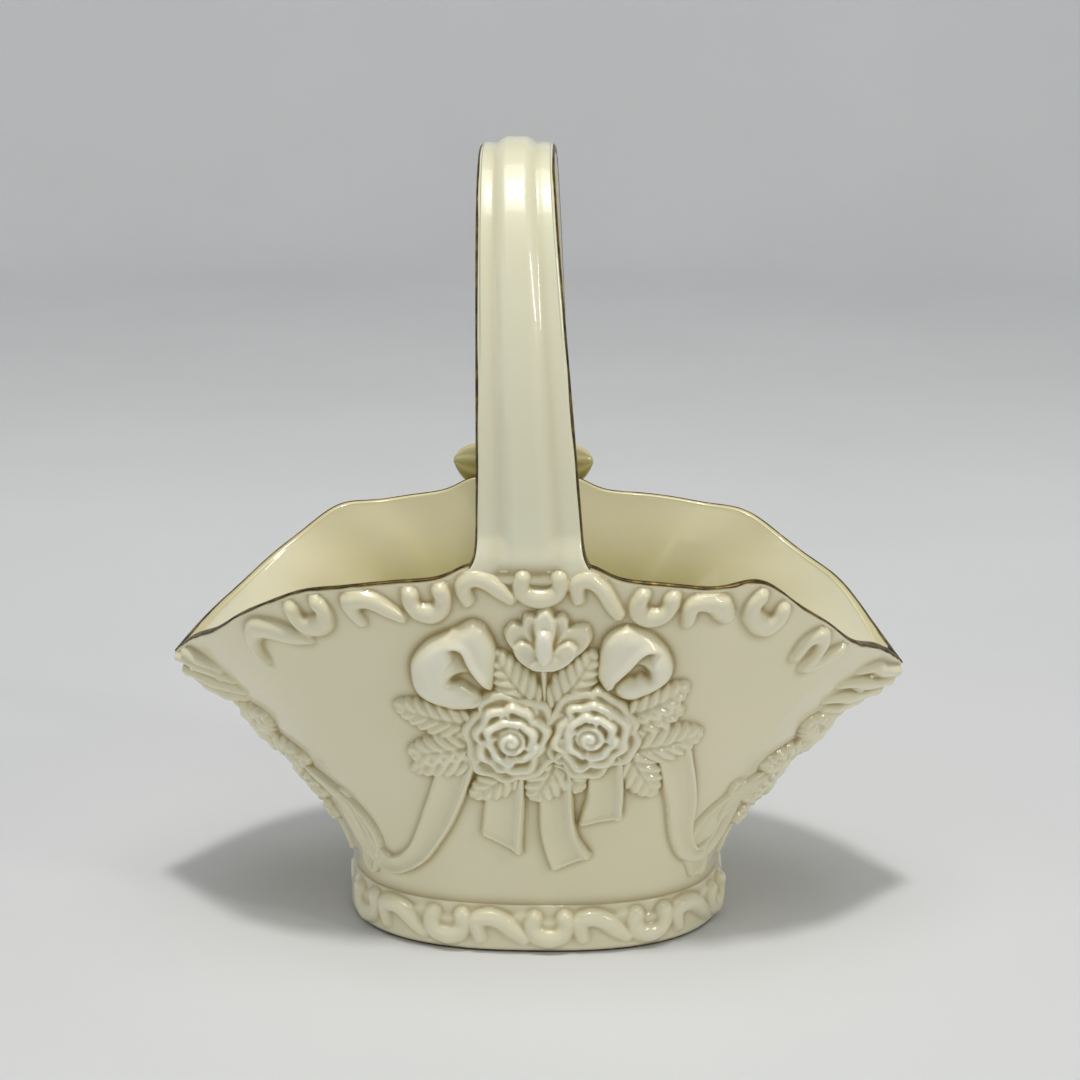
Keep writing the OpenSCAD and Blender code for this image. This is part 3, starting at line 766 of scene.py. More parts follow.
# ribbons: path, half widths along it and heights along it; a tail also has the line of its cut
SWAG_H = [3.0, 3.0, 2.9, 2.9, 2.9, 2.7, 2.4, 1.8]
SWAG_LEFT = [
    (-24.0, -9), (-27.5, -20), (-31.5, -30), (-36.0, -38), (-42.3, -42.2), (-48, -39),
    (-53, -32), (-57, -25),
]
SWAG_LEFT_W = [5.0, 4.8, 4.4, 3.4, 2.6, 2.4, 2.6, 2.2]
SWAG_RIGHT = [
    (33.6, -7), (35.6, -20.7), (35.6, -31), (37.4, -37.8), (40.8, -40.0), (45.0, -36.4),
    (48.4, -30), (52, -22),
]
SWAG_RIGHT_W = [4.8, 4.6, 3.9, 3.0, 2.6, 2.6, 2.8, 2.4]
TAIL_LEFT = [(-11.0, -12), (-11.6, -22), (-12.4, -32), (-13.4, -50)]
TAIL_LEFT_W = [5.2, 5.5, 5.8, 6.2]
TAIL_CENTRE = [(2.2, -12), (2.4, -22), (3.4, -31), (7.5, -40), (12, -50)]
TAIL_CENTRE_W = [4.6, 4.6, 5.0, 6.2, 7.0]
TAIL_RIGHT = [(15.4, -8), (15.4, -18), (14.0, -27), (13.0, -40)]
TAIL_RIGHT_W = [4.9, 4.9, 6.0, 7.0]


def ribbon(path, widths, heights):
    return stroke(GU, GV, path, widths, heights, band_profile)


spray["swag_left"] = ribbon(SWAG_LEFT, SWAG_LEFT_W, SWAG_H)
spray["swag_right"] = ribbon(SWAG_RIGHT, SWAG_RIGHT_W, SWAG_H)
tail = ribbon(TAIL_LEFT, TAIL_LEFT_W, 2.8)
spray["tail_left"] = cut(tail, GU, GV, (-17.1, -30.0), (-6.5, -35.9))
tail = ribbon(TAIL_CENTRE, TAIL_CENTRE_W, 3.1)
spray["tail_centre"] = cut(tail, GU, GV, (0.9, -40.2), (14.6, -34.7))
tail = ribbon(TAIL_RIGHT, TAIL_RIGHT_W, 3.2)
spray["tail_right"] = cut(tail, GU, GV, (7.8, -26.9), (20.2, -24.7))

# leaves are softened more than petals and ribbons
spray = {k: settle(v, 1.3 if "leaves" in k else 1.0) for k, v in spray.items()}


BOTH = ("front_", "back_")


def pooled_glaze_and_shade(fields):
    """Painted shade in hollows beside high relief, partly also pooled glaze: from 0 on open surfaces
    to 1 in the hollows.
    """
    top = np.maximum(0, np.max(np.stack(list(fields)), axis=0))
    near = np.clip((blur(top, 3.0) - top) * 1.0, 0, 1)
    wide = np.clip((blur(top, 8.0) - top) * 0.30, 0, 1)
    return np.clip(near + wide - 0.06, 0, 0.95)


def glaze(pool_and_painted_shading, high=0.0):
    """Value of the colour attribute for painted shade 0 to 1 (partly also pooled glaze) and relief
    height 0 to 1, which lightens it as painted light.
    """
    return CLEAN * (1 - high) + (1 - CLEAN * (1 - high)) * pool_and_painted_shading


def sprigs(fields, place, U, V, names):
    """Places each relief on the front and the back, or on the left and the right end."""
    pool_and_painted_shading = pooled_glaze_and_shade(fields.values())
    for key, H in fields.items():
        for half, word in zip((0.0, math.pi), names):
            node = word + key
            # painted shade in the hollows, painted light on high relief
            shade = glaze(pool_and_painted_shading, smoothstep((H - 1.2) / 5.2))
            ob = relief_object(node + "_relief", place, U, V, H, shade, half)
            finish_piece(ob, mat_sprig, "sprig_porcelain", node)
    return pool_and_painted_shading


spray_pool_and_shade = sprigs(spray, on_spray, GU, GV, BOTH)

# ---------------------------------------------------------------------------
# Scroll borders: a cup, then a hooked leaf, turn about
# ---------------------------------------------------------------------------
# path and half widths of each, in mm from its middle and from the border's upper edge
CUP = [(-3.7, 3.2), (-4.1, 5.5), (-2.9, 7.7), (0.1, 8.5), (2.9, 7.6), (4.1, 5.3), (3.8, 3.2)]
CUP_W = [2.1, 2.4, 2.6, 2.7, 2.5, 2.3, 2.2]
CUP_H = [2.7, 2.5, 2.6, 2.9, 2.7, 2.5, 2.8]
HOOK = [(-4.5, 8.4), (-5.1, 6.0), (-5.0, 3.9), (-2.0, 3.2), (1.2, 4.2), (3.9, 6.5), (6.4, 8.6)]
HOOK_W = [1.8, 2.2, 2.4, 2.4, 2.5, 2.3, 1.8]
HOOK_H = [2.3, 2.6, 2.9, 2.9, 2.9, 2.6, 2.1]


def border_height(U, V, units, side_up):
    """Field of scrolls (middle, scale along, scale across); side_up turns depth into v."""
    H = np.full(U.shape, FIELD_NONE)
    for i, (u0, along_k, across_k) in enumerate(units):
        rows = np.nonzero(np.abs(U[:, 0] - u0) < 14 * along_k)[0]
        sl = slice(rows[0], rows[-1] + 1)
        path, w, h = (CUP, CUP_W, CUP_H) if i % 2 == 0 else (HOOK, HOOK_W, HOOK_H)
        pts = [(u0 + a * along_k, side_up(b * across_k)) for a, b in path]
        w = [x * min(along_k, across_k) for x in w]
        H[sl] = smax(H[sl], stroke(U[sl], V[sl], pts, w, h), 0.4)
    return H


RIM_PITCH, RIM_START, RIM_SPAN = 15.5, 3.0, 102.6
RU, RV = grid(rim_u(-RIM_SPAN), rim_u(RIM_SPAN), 0.5, 17.0)
# a large leaf towards the left end, crossed stems towards the right end
LEAF_X, STEMS_X = -76.0, 81.5
LEAF = [(-8.2, 10.4), (-7.2, 7.0), (-4.4, 4.6), (-0.2, 3.9), (4.6, 5.6), (9.6, 8.6), (14.0, 11.0)]
LEAF_W, LEAF_H = [1.6, 2.1, 2.5, 2.8, 2.9, 2.6, 1.4], [2.2, 2.8, 3.0, 2.8, 2.2]
STEMS = [
    [(-6.4, 9.0), (-6.8, 5.0), (-4.6, 2.6), (-1.6, 3.2), (-0.2, 6.0), (-0.4, 9.6)],
    [(6.4, 2.4), (3.8, 5.4), (1.4, 9.0)],
]
STEM_W, STEM_H = [1.9, 2.1, 1.7], [2.2, 2.7, 2.2]
# ridges that run into each tip: (distance from the tip, distance below the rim)
LEFT_RIDGES = [
    [(7.0, 1.4), (10.5, 3.6), (13.5, 7.4)],
    [(1.5, 1.6), (6.0, 3.6), (10.0, 7.0), (13.0, 10.4)],
    [(0.6, 4.8), (4.0, 7.0), (7.5, 10.2), (11.0, 13.2)],
    [(0.6, 8.6), (3.0, 11.2), (6.0, 13.8)],
]
RIGHT_RIDGES = [
    [(0.8, 2.2), (6.0, 3.4), (11.0, 3.6), (15.0, 5.4)],
    [(0.8, 4.6), (6.0, 6.6), (11.5, 7.6), (16.5, 9.4)],
    [(0.8, 7.2), (5.0, 9.6), (9.5, 11.2), (13.5, 13.2)],
    [(0.8, 10.0), (4.0, 12.6), (8.0, 14.6)],
]
RIDGE_W, RIDGE_H = [1.25, 1.6, 1.1], [2.4, 3.2, 1.4]


def rim_border():
    """Scrolls under the rim, with the leaf, the stems and the ridges towards the tips."""
    units = []
    for i in range(-4, 5):
        x = RIM_START + i * RIM_PITCH
        spread = (rim_u(x + RIM_PITCH / 2) - rim_u(x - RIM_PITCH / 2)) / RIM_PITCH
        # the middle cup, under the handle, is the widest
        wide = 1.3 if i == 0 else min(spread * 1.06, 1.14)
        x -= 2.2 if i == -4 else 0
        units.append((rim_u(x), wide, 1.08))
    H = border_height(RU, RV, units, lambda depth: depth - 0.7)
    leaf = [(rim_u(LEAF_X) + a, b) for a, b in LEAF]
    H = smax(H, stroke(RU, RV, leaf, LEAF_W, LEAF_H), 0.4)
    for stem in STEMS:
        pts = [(rim_u(STEMS_X) + a, b) for a, b in stem]
        H = smax(H, stroke(RU, RV, pts, STEM_W, STEM_H), 0.4)
    for side, ridges in ((-1, LEFT_RIDGES), (1, RIGHT_RIDGES)):
        for ridge in ridges:
            pts = [(rim_u(side * RIM_A) - side * a, b) for a, b in ridge]
            H = smax(H, stroke(RU, RV, pts, RIDGE_W, RIDGE_H), 0.25)
    return settle(H, 1.3, 0.42)


FOOT_PITCH, FOOT_SCALE, FOOT_START, FOOT_SCROLL_TOP = 14.0, 1.14, 5.0, 13.9
FU, FV = grid(FOOT_S[0] + 0.1, FOOT_S[-1] - 0.1, 0.6, 13.6)


def foot_border():
    """Scrolls round the foot, on a low band with a scalloped upper edge."""
    middle = foot_u(FOOT_START)
    units = [(middle + i * FOOT_PITCH, 1.1, FOOT_SCALE) for i in range(-4, 5)]
    H = border_height(FU, FV, units, lambda depth: FOOT_SCROLL_TOP - depth)
    edge = 11.4 - 1.1 * np.cos(2 * math.pi * (FU - middle) / FOOT_PITCH)
    band = 0.9 * np.clip((edge - FV) / 1.4, -0.9, 1) * smoothstep((FV - 0.4) / 1.0)
    return settle(smax(H, band, 0.3), 1.1, 0.3)


rim_pool_and_shade = sprigs({"rim_scrolls": rim_border()}, on_rim, RU, RV, BOTH)
foot_pool_and_shade = sprigs({"foot_scrolls": foot_border()}, on_foot, FU, FV, BOTH)

# ---------------------------------------------------------------------------
# End sprays
# ---------------------------------------------------------------------------
EU, EV = grid(-36.0, 36.0, 17.0, 71.0)
# one side of the spray; the other mirrors it. Leaves: foot, tip, half width, height
END_LEAVES = [
    ((4, 52), (19, 58), 4.2, 3.2),
    ((5, 46), (22, 47), 4.4, 3.2),
    ((5, 40), (21, 37), 4.2, 3.2),
    ((3, 34), (15, 28), 4.0, 3.0),
]
END_RIBBONS = [
    [(2, 54), (5, 59), (9, 63.5), (15, 68)],
    [(2.5, 33), (5, 28), (6.5, 23), (8, 17.5)],
    [(16, 44), (26, 38), (29, 28), (26, 19)],
]
END_RIBBON_W, END_RIBBON_H = [2.2, 2.6, 2.8, 2.8], [2.6, 2.4, 2.2, 2.0]


def end_spray():
    """Two roses, one above the other, with leaves and ribbons on both sides of them."""
    roses = np.maximum(
        rose_height(EU, EV, (0.5, 50.0), 8.4, 5.4, rng, 0.2),
        rose_height(EU, EV, (-0.5, 37.5), 8.2, 5.4, rng, 1.2),
    )
    green, bands = [], []
    for side in (-1, 1):
        for foot, tip, w, h in END_LEAVES:
            ends = [(side * x, z) for x, z in (foot, tip)]
            green.append(leaf_height(EU, EV, *ends, w, h))
        for path in END_RIBBONS:
            pts = [(side * x, z) for x, z in path]
            bands.append(stroke(EU, EV, pts, END_RIBBON_W, END_RIBBON_H, band_profile))
    fields = {"roses": roses, "leaves": joined(*green), "ribbons": joined(*bands)}
    return {k: settle(v) for k, v in fields.items()}


sprigs(end_spray(), on_end, EU, EV, ("left_end_", "right_end_"))


# ---------------------------------------------------------------------------
# Bowl
# ---------------------------------------------------------------------------
def sample(U, V, F, u, v):
    """Bilinear value of field F at (u, v), 0 outside its grid."""
    du, dv = U[1, 0] - U[0, 0], V[0, 1] - V[0, 0]
    x, y = (u - U[0, 0]) / du, (v - V[0, 0]) / dv
    ok = (x >= 0) & (y >= 0) & (x < U.shape[0] - 1) & (y < U.shape[1] - 1)
    xi = np.clip(x.astype(int), 0, U.shape[0] - 2)
    yi = np.clip(y.astype(int), 0, U.shape[1] - 2)
    fx, fy = x - xi, y - yi
    low = F[xi, yi] * (1 - fx) + F[xi + 1, yi] * fx
    high = F[xi, yi + 1] * (1 - fx) + F[xi + 1, yi + 1] * fx
    return np.where(ok, low * (1 - fy) + high * fy, 0)


def front_angle(t):
    """Angle of the matching point on the front half, for angles in -pi to pi."""
    return np.where(t <= 0, t, t - math.pi)


def rim_inset(c):
    """Thickness of the wall at its rim: thin along the sides, solid towards the ends."""
    return WALL_T * (0.46 + 0.54 * np.abs(c) ** 16)


def inner_inset(t, s):
    """Distance from the outer to the inner face, with folds left by shaping the rim by hand."""
    c = across(t)
    thin = smoothstep((s - 0.72) / 0.28)
    inset = WALL_T + (rim_inset(c) - WALL_T) * thin
    x = RIM_A * c
    level = np.clip(s, 0, 1) * np.clip((1 - s) * 9, 0, 1)
    # each fold: its place at the rim, how far it moves in towards the floor, reach and depth
    folds = 0
    for place, lean, reach, deep in ((52, 16, 7, 1.0), (66, 20, 7, -0.6), (80, 24, 6, 0.8)):
        folds = folds + deep * swell(np.abs(x) - place + lean * (1 - s), reach)
    ripple = 0.35 * np.sin(5 * t + 2.2 * s) * np.sin(6 * s + 1.7) + 0.22 * np.sin(11 * t - 4 * s)
    curl = 7.0 * np.clip(1 - s / 0.14, 0, 1) ** 2
    return inset + curl + level * (folds + ripple)


def rim_lip(t, phi):
    """Point on the rounded rim: phi is 0 at the outer face and pi at the inner one."""
    one = np.ones_like(t)
    inset = rim_inset(across(t))
    a, b = wall_pt(t, one), wall_pt(t, one, inset)
    mid, half = (a + b) / 2, (a - b) / 2
    rise = np.minimum((0.5 * inset)[..., None] * np.array([0, 0, 1.0]), 1.1)
    out = half * np.cos(phi) + rise * np.sin(phi)
    return mid + out


def build_bowl():
    """Wall of the bowl as rings that run up the outer face, over the rim and down the inner face."""
    n, rows, lip_rows = 900, 130, 10
    # the outer face starts a little above the foot, below the floor's level
    bottom = FOOT_H + 0.3
    t = np.linspace(-math.pi, math.pi, n, endpoint=False)[:, None]
    T = t + np.zeros((1, rows))
    wall_h = rim_z(T) - WALL_Z0
    low = -(WALL_Z0 - bottom) / wall_h
    S = low + (1 - low) * np.linspace(0, 1, rows)[None, :]
    outer = wall_pt(T, S)
    skirt = 0.75 * np.exp(-np.clip(outer[..., 2] - bottom, 0, None) / 2.2)
    outer = outer + wall_normal(T, S) * skirt[..., None] * np.array([1, 1, 0])
    phi = np.linspace(0, math.pi, lip_rows + 2)[1:-1][None, :, None]
    lip = rim_lip(t, phi)
    si = np.linspace(1, 0, rows)[None, :] + 0 * t
    inner = wall_pt(T, si, inner_inset(T, si))
    rings = np.concatenate([outer, lip, inner], axis=1)
    k = rings.shape[1]

    # outer face: painted shade round the relief (partly also pooled glaze), painted shadow under the
    # handle's foot and painted shade above the foot ring
    side = np.where(T <= 0, 1.0, -1.0)
    fx, fz = outer[..., 0] * side, outer[..., 2]
    rim_at = np.interp(front_angle(T), RIM_T, RIM_S)
    outside = [
        sample(GU, GV, spray_pool_and_shade, fx - MOTIF_X, fz - MOTIF_Z),
        sample(RU, RV, rim_pool_and_shade, rim_at, (1 - S) * wall_h),
        0.85 * swell(fx, 8.0) * swell(fz - 106.5, 2.2),
        0.95 * swell(np.clip(fz - FOOT_H - 0.5, 0, None), 2.4),
    ]
    # inner face: painted shade towards the floor, painted light towards the ends
    ends = smoothstep((np.abs(inner[..., 0]) - 58) / 35)
    deep = smoothstep((1 - si) / 0.45) * (1 - 0.75 * ends)
    shade_patch = 0.10 * np.sin(4 * T + 1.0) * np.sin(9 * si)
    inside = np.clip(0.12 * (1 - ends) + 0.78 * deep + shade_patch * deep, 0, 0.9)
    # the rim's lip gets a middle tone of painted shade
    pool_and_painted_shading = np.concatenate([np.max(outside, axis=0), np.full((n, lip_rows), 0.42), inside], axis=1)
    high = np.zeros((n, k))
    # painted light on the inner face towards the ends
    high[:, -rows:] = 0.8 * ends
    # olive tint of the painted shade over the lip and the inner face
    olive_shade = np.zeros((n, k))
    olive_shade[:, rows:] = 1.0
    attrs = {"pool_and_painted_shading": glaze(pool_and_painted_shading, high), "olive_shade": olive_shade}
    return closed_piece(
        mat_body, "porcelain", "bowl_wall",
        "bowl_wall_body", rings.reshape(-1, 3), tube_faces(n, k, True)[:, ::-1], attrs,
    )


def build_floor():
    """Floor plate, its upper face slightly raised towards the edge."""
    n = 240
    t = np.linspace(-math.pi, math.pi, n, endpoint=False)
    edge = wall_pt(t, np.zeros_like(t))[:, :2]
    low = FOOT_H + 0.05
    profile = [
        (1e-3, WALL_Z0), (0.3, WALL_Z0), (0.6, WALL_Z0 + 0.05), (0.86, WALL_Z0 + 0.25),
        (0.93, WALL_Z0 + 0.2), (0.992, WALL_Z0), (0.992, low), (0.6, low), (1e-3, low),
    ]
    verts = np.concatenate([np.column_stack([edge * r, np.full(n, z)]) for r, z in profile])
    # painted shade: the floor's upper face, at the bottom of the bowl, is darkened and tinted olive
    inside = (verts[:, 2] > FOOT_H + 1) * 1.0
    faces = tube_faces(len(profile), n, False)
    return closed_piece(
        mat_body, "porcelain", "bowl_floor",
        "bowl_floor_plate", verts, faces, {"pool_and_painted_shading": glaze(0.85 * inside), "olive_shade": inside},
    )


def build_foot():
    """Foot ring with rounded edges and a hollow underside."""
    n = 480
    t = np.linspace(-math.pi, math.pi, n, endpoint=False)
    # (distance in from the outer face, height): outside, top, then down the inside
    profile = [(0.9, 0.0), (0.35, 0.12), (0.05, 0.5), (0.0, 1.2)]
    profile += [(0.0, z) for z in np.linspace(2, 9.4, 8)]
    profile += [(0.0, 10.4), (0.03, 11.2), (0.12, 11.9), (0.4, 12.4), (1.2, 12.5), (3.4, 12.5)]
    profile += [(FOOT_T + 1.0, 12.0), (FOOT_T + 0.6, 6.0)]
    profile += [(FOOT_T, 1.0), (FOOT_T - 0.4, 0.2), (FOOT_T - 1.0, 0.0)]
    verts = np.stack([foot_pt(t, i, z) for i, z in profile], 1).reshape(-1, 3)
    at = np.interp(front_angle(np.repeat(t, len(profile))), FOOT_TT, FOOT_S)
    # painted shade: the upper part of the foot ring, under the wall's overhang, and the hollows of its
    # scrolls (partly also pooled glaze)
    upper = 0.95 * smoothstep((verts[:, 2] - 8.0) / 3.0)
    pool_and_painted_shading = np.maximum(sample(FU, FV, foot_pool_and_shade, at, verts[:, 2]), upper)
    return closed_piece(
        mat_body, "porcelain", "foot_ring",
        "foot_ring_body", verts, tube_faces(n, len(profile), True), {"pool_and_painted_shading": glaze(pool_and_painted_shading)},
    )


# ---------------------------------------------------------------------------
# Handle
# ---------------------------------------------------------------------------
def arch_pt(q):
    """Point on the middle line of the handle, q running from 0 at the front foot to pi at the rear."""
    s, c = np.abs(np.sin(q)), np.cos(q)
    front = HANDLE_TOP_X * s**1.1
    back = HANDLE_BACK_X + (HANDLE_TOP_X - HANDLE_BACK_X) * s**1.1
    x = np.where(q < math.pi / 2, front, back)
    return np.stack([x, -ARCH_B * spow(c, 2 / ARCH_N), HANDLE_Z0 + ARCH_H * s ** (2 / ARCH_N)], -1)


SIDEWAYS = np.array([1.0, 0, 0])
FOOT_DEPTH = 7.5  # how far the strap runs down into the wall at each foot
FOOT_RINGS = 23
# the raised band of the strap lies a little left of the middle, in half widths
BAND_SHIFT = 0.04
# heights in the strap's section, from its inner side: inner face, start of the sides, outer face
STRAP_IN, SIDE_V, CORNER_V = 0.28, 2.4, 5.5
BAND_RISE = 1.45


def handle_frames(n):
    """Points, outward normals and half widths along the arch, with feet that sink into the wall."""
    q = np.linspace(0, math.pi, 4001)
    p = arch_pt(q)
    d = np.concatenate([[0], np.cumsum(np.linalg.norm(np.diff(p, axis=0), axis=1))])
    qq = np.interp(np.linspace(0, d[-1], n), d, q)
    p = arch_pt(qq)
    g = np.gradient(p, axis=0)
    g[0], g[-1] = [0, 0, 1], [0, 0, -1]
    nrm = unit(np.stack([0 * g[:, 0], -g[:, 2], g[:, 1]], -1))
    drop = 1 - np.abs(np.sin(qq)) ** (2 / ARCH_N)
    half = (HANDLE_W_TOP + (HANDLE_W_BASE - HANDLE_W_TOP) * drop**1.1) / 2
    feet = np.linspace(FOOT_DEPTH, 0.0, FOOT_RINGS + 1)[:-1]
    m = len(feet)
    below = np.stack([0 * feet, 0 * feet, -feet], -1)
    f0, f1 = p[0] + below, (p[-1] + below)[::-1]
    P = np.concatenate([f0, p, f1])
    N = np.concatenate([np.repeat(nrm[:1], m, 0), nrm, np.repeat(nrm[-1:], m, 0)])
    W = np.concatenate([np.full(m, half[0]), half, np.full(m, half[-1])])
    run = np.concatenate([-feet, np.linspace(0, d[-1], n), d[-1] + feet[::-1]])
    reach = np.minimum(run, d[-1] - run)
    front = run < d[-1] / 2
    # the front foot widens into the rim, and the rear foot narrows where it meets the wall
    widen = 2.6 * np.exp(-((np.clip(reach + 1.5, 0, None) / 2.6) ** 1.2))
    narrow = 2.4 * smoothstep((1.5 - reach) / 2.0)
    return P, N, W + np.where(front, widen, -narrow), reach


def strap_section(m=72):
    """Outline of the strap as (a, b, v): across is a times the half width plus b mm, v is through."""
    r, edge_drop, face_w, inner_w = 1.5, 0.25, 1 - 0.105, 0.78
    x = np.linspace(-1, 1, m)
    band = BAND_RISE * smoothstep((0.66 - np.abs(x + BAND_SHIFT)) / 0.42)
    flute = -0.22 * swell(np.abs(x + BAND_SHIFT) - 0.62, 0.13)
    face = CORNER_V + band + flute - edge_drop * np.abs(x) ** 4
    corner = []
    for a in np.linspace(0, 1.4, 7):
        corner.append((r - r * math.cos(a), CORNER_V - edge_drop - r + r * math.sin(a)))
    under = []
    for a in np.linspace(0.2, 1.5, 8):
        under.append((1 - 0.14 * (1 - math.cos(a)), 0.0, SIDE_V - 2.1 * math.sin(a)))
    out = [(-1, 0.0, v) for v in (SIDE_V, 3.2)]
    out += [(-1, b, v) for b, v in corner]
    out += [(xx * face_w, 0.0, v) for xx, v in zip(x, face)]
    out += [(1, -b, v) for b, v in corner[::-1]]
    out += [(1, 0.0, v) for v in (3.2, SIDE_V)]
    out += under + [(xx, 0.0, STRAP_IN) for xx in np.linspace(inner_w, -inner_w, 20)]
    out += [(-a, b, v) for a, b, v in under[::-1]]
    return np.array(out)


HP, HN, HW, H_REACH = handle_frames(220)
SECTION = strap_section()


def strap_depth(v, reach, a=1.0):
    """Depth through the strap near its feet, a being the place across it. The face turns flat and
    proud of the rim, has a shallow recess, then runs back into the wall; the inner face closes
    on the wall."""
    wall = HANDLE_T / 2 + RIM_B - ARCH_B
    outer = smoothstep((v - SIDE_V) / 2.8)
    band = np.clip((v - 5.25) / BAND_RISE, 0, 1)
    flat = BAND_RISE * smoothstep((9 - reach) / 7) * (1 - band)
    w = v + outer * (flat + 1.0 * swell(reach + 0.5, 4.5))
    limit = 8.4 - (8.4 - wall + 1.9) * smoothstep((-2.2 - reach) / 4.4)
    recess = 0.9 * swell(reach + 1.2, 1.5) * smoothstep((0.62 - np.abs(a + 0.05)) / 0.22)
    mid_side = 3.5
    w = np.where(v > mid_side, np.minimum(w - recess, limit), w)
    close = np.exp(-np.clip(reach + 1.0, 0, None) / 4.0)
    inner = v + (wall - 2.9 - v) * close
    return np.where(v < mid_side, np.minimum(inner, w), w)


def strap_rings(section):
    """Rings of the strap's section along the arch."""
    a, b, v = section.T
    across_mm = a[None] * HW[:, None] + b[None]
    ring = HP[:, None] + across_mm[..., None] * SIDEWAYS
    depth = strap_depth(v[None, :], H_REACH[:, None], a[None, :])
    return ring + HN[:, None] * (depth[..., None] - HANDLE_T / 2)


def build_handle():
    """The strap, with painted shade in its flutes (partly also pooled glaze), under it and in the
    recess at its feet.
    """
    rings = strap_rings(SECTION)
    n, k = rings.shape[:2]
    verts, faces = capped_tube(rings, rings[0].mean(0), rings[-1].mean(0))
    a, _, v = SECTION.T
    # painted shade: flutes, the underside and the recess at the feet are darkened
    flutes = 0.16 * swell(np.abs(a + BAND_SHIFT) - 0.56, 0.14) * (v > 3)
    under = 0.35 * (v < 2)
    pool_and_painted_shading = np.tile(np.maximum(flutes, under), n)
    middle = smoothstep((0.7 - np.abs(a)) / 0.25)
    feet = np.repeat(0.8 * swell(H_REACH + 1.6, 1.8), k) * np.tile(middle, n)
    pool_and_painted_shading = np.concatenate([np.maximum(pool_and_painted_shading, feet), [0, 0]])
    return closed_piece(
        mat_handle, "porcelain", "handle",
        "handle_strap", verts, faces, {"pool_and_painted_shading": glaze(pool_and_painted_shading)},
    )


def film(name, rings, lift, node):
    """Thin gilding over a band of rings: lift mm proud in the middle, edges under the surface."""
    along_d = np.gradient(rings, axis=0)
    across_d = np.gradient(rings, axis=1)
    normal = unit(np.cross(along_d, across_d))
    n, k = rings.shape[:2]
    taper = np.sqrt(np.clip(1 - np.linspace(-1, 1, k) ** 4, 0, 1))[None, :, None]
    edge_in, base_in = 0.09, 0.25
    upper = rings + normal * ((lift + edge_in) * taper - edge_in)
    lower = rings - normal * base_in
    both = np.concatenate([upper, lower[:, ::-1]], axis=1)
    kk = both.shape[1]
    faces = np.concatenate([tube_faces(n, kk, False)] + strip_caps(n, kk))
    return closed_piece(mat_gold, "gilding", node, name, both.reshape(-1, 3), faces)


def build_handle_gilding(side):
    """Gold on the strap's edge, just round the outer corner."""
    edge = [(0.0, 2.3), (0.0, 3.0), (0.0, 3.75), (0.05, 4.15), (0.18, 4.5), (0.40, 4.82), (0.62, 5.02)]
    edge = edge if side > 0 else edge[::-1]
    rows = []
    rngw = np.random.default_rng(11 + side)
    wear = np.interp(np.arange(len(HP)), np.linspace(0, len(HP), 40), rngw.uniform(-0.16, 0.16, 40))
    for b, v in edge:
        b_mm = -side * (b + np.where(b > 0, wear * b, 0))
        depth = strap_depth(np.full(len(HP), v) + wear * 0.6, H_REACH)
        out = (side * HW + b_mm)[:, None] * SIDEWAYS
        rows.append(HP + out + HN * (depth - HANDLE_T / 2)[:, None])
    rings = np.stack(rows, 1)[FOOT_RINGS - 1 : 1 - FOOT_RINGS]
    word = "left" if side < 0 else "right"
    return film("handle_gold_" + word, rings, 0.10, "handle_gilding_" + word)


def rim_angle(x):
    """Angle at which the rim passes x."""
    return math.acos(spow(x / RIM_A, FOOT_N / 2))


def build_rim_gilding(side):
    """Gold along the top of the rim, from one side of the handle round an end to the other."""
    gap = HANDLE_W_BASE / 2 + 0.2
    n = 800
    if side > 0:
        t = np.linspace(-rim_angle(gap), rim_angle(HANDLE_BACK_X + gap), n)
    else:
        t = np.linspace(rim_angle(HANDLE_BACK_X - gap), 2 * math.pi - rim_angle(-gap), n)
    rngw = np.random.default_rng(5 + side)
    wear = np.interp(np.linspace(0, 1, n), np.linspace(0, 1, 90), rngw.uniform(-0.22, 0.22, 90))
    k = 9
    rear = smoothstep((np.sin(t) + 0.12) / 0.3)
    tips = smoothstep((np.abs(np.cos(t)) - 0.80) / 0.15) * (1 - rear)
    first, last = 0.45 + 0.1 * rear - 0.35 * tips, 2.5 - 1.15 * rear + 0.3 * tips
    phi = first[:, None] + (last - first)[:, None] * np.linspace(0, 1, k)
    phi = phi + wear[:, None] * np.linspace(-1, 0.4, k)
    rings = rim_lip(t[:, None], phi[..., None])
    word = "left" if side < 0 else "right"
    return film("rim_gold_" + word, rings[:, ::-1], 0.08, "rim_gilding_" + word)


def build_foot_gilding():
    """Gold line of slightly uneven width round the bottom of the foot."""
    n = 480
    t = np.linspace(-math.pi, math.pi, n, endpoint=False)
    wobble = 0.2 * np.sin(9 * t) + 0.15 * np.sin(23 * t + 1)
    # (distance in from the foot's face, height, share of the wobble)
    profile = [
        (0.85, 0.02, 0), (0.28, 0.02, 0), (-0.06, 0.3, 0), (-0.1, 0.6, 0.3), (-0.06, 0.9, 1.0),
        (0.3, 0.9, 1.0), (0.4, 0.3, 0),
    ]
    verts = np.stack([foot_pt(t, i, z + wobble * k) for i, z, k in profile], 1).reshape(-1, 3)
    return closed_piece(
        mat_gold, "gilding", "foot_gilding",
        "foot_gold", verts, tube_faces(n, len(profile), True),
    )


# ---------------------------------------------------------------------------
# Bow behind the handle
# ---------------------------------------------------------------------------
BOW_Y, BOW_Z = RIM_B + 2.1, HANDLE_Z0 + 4.6


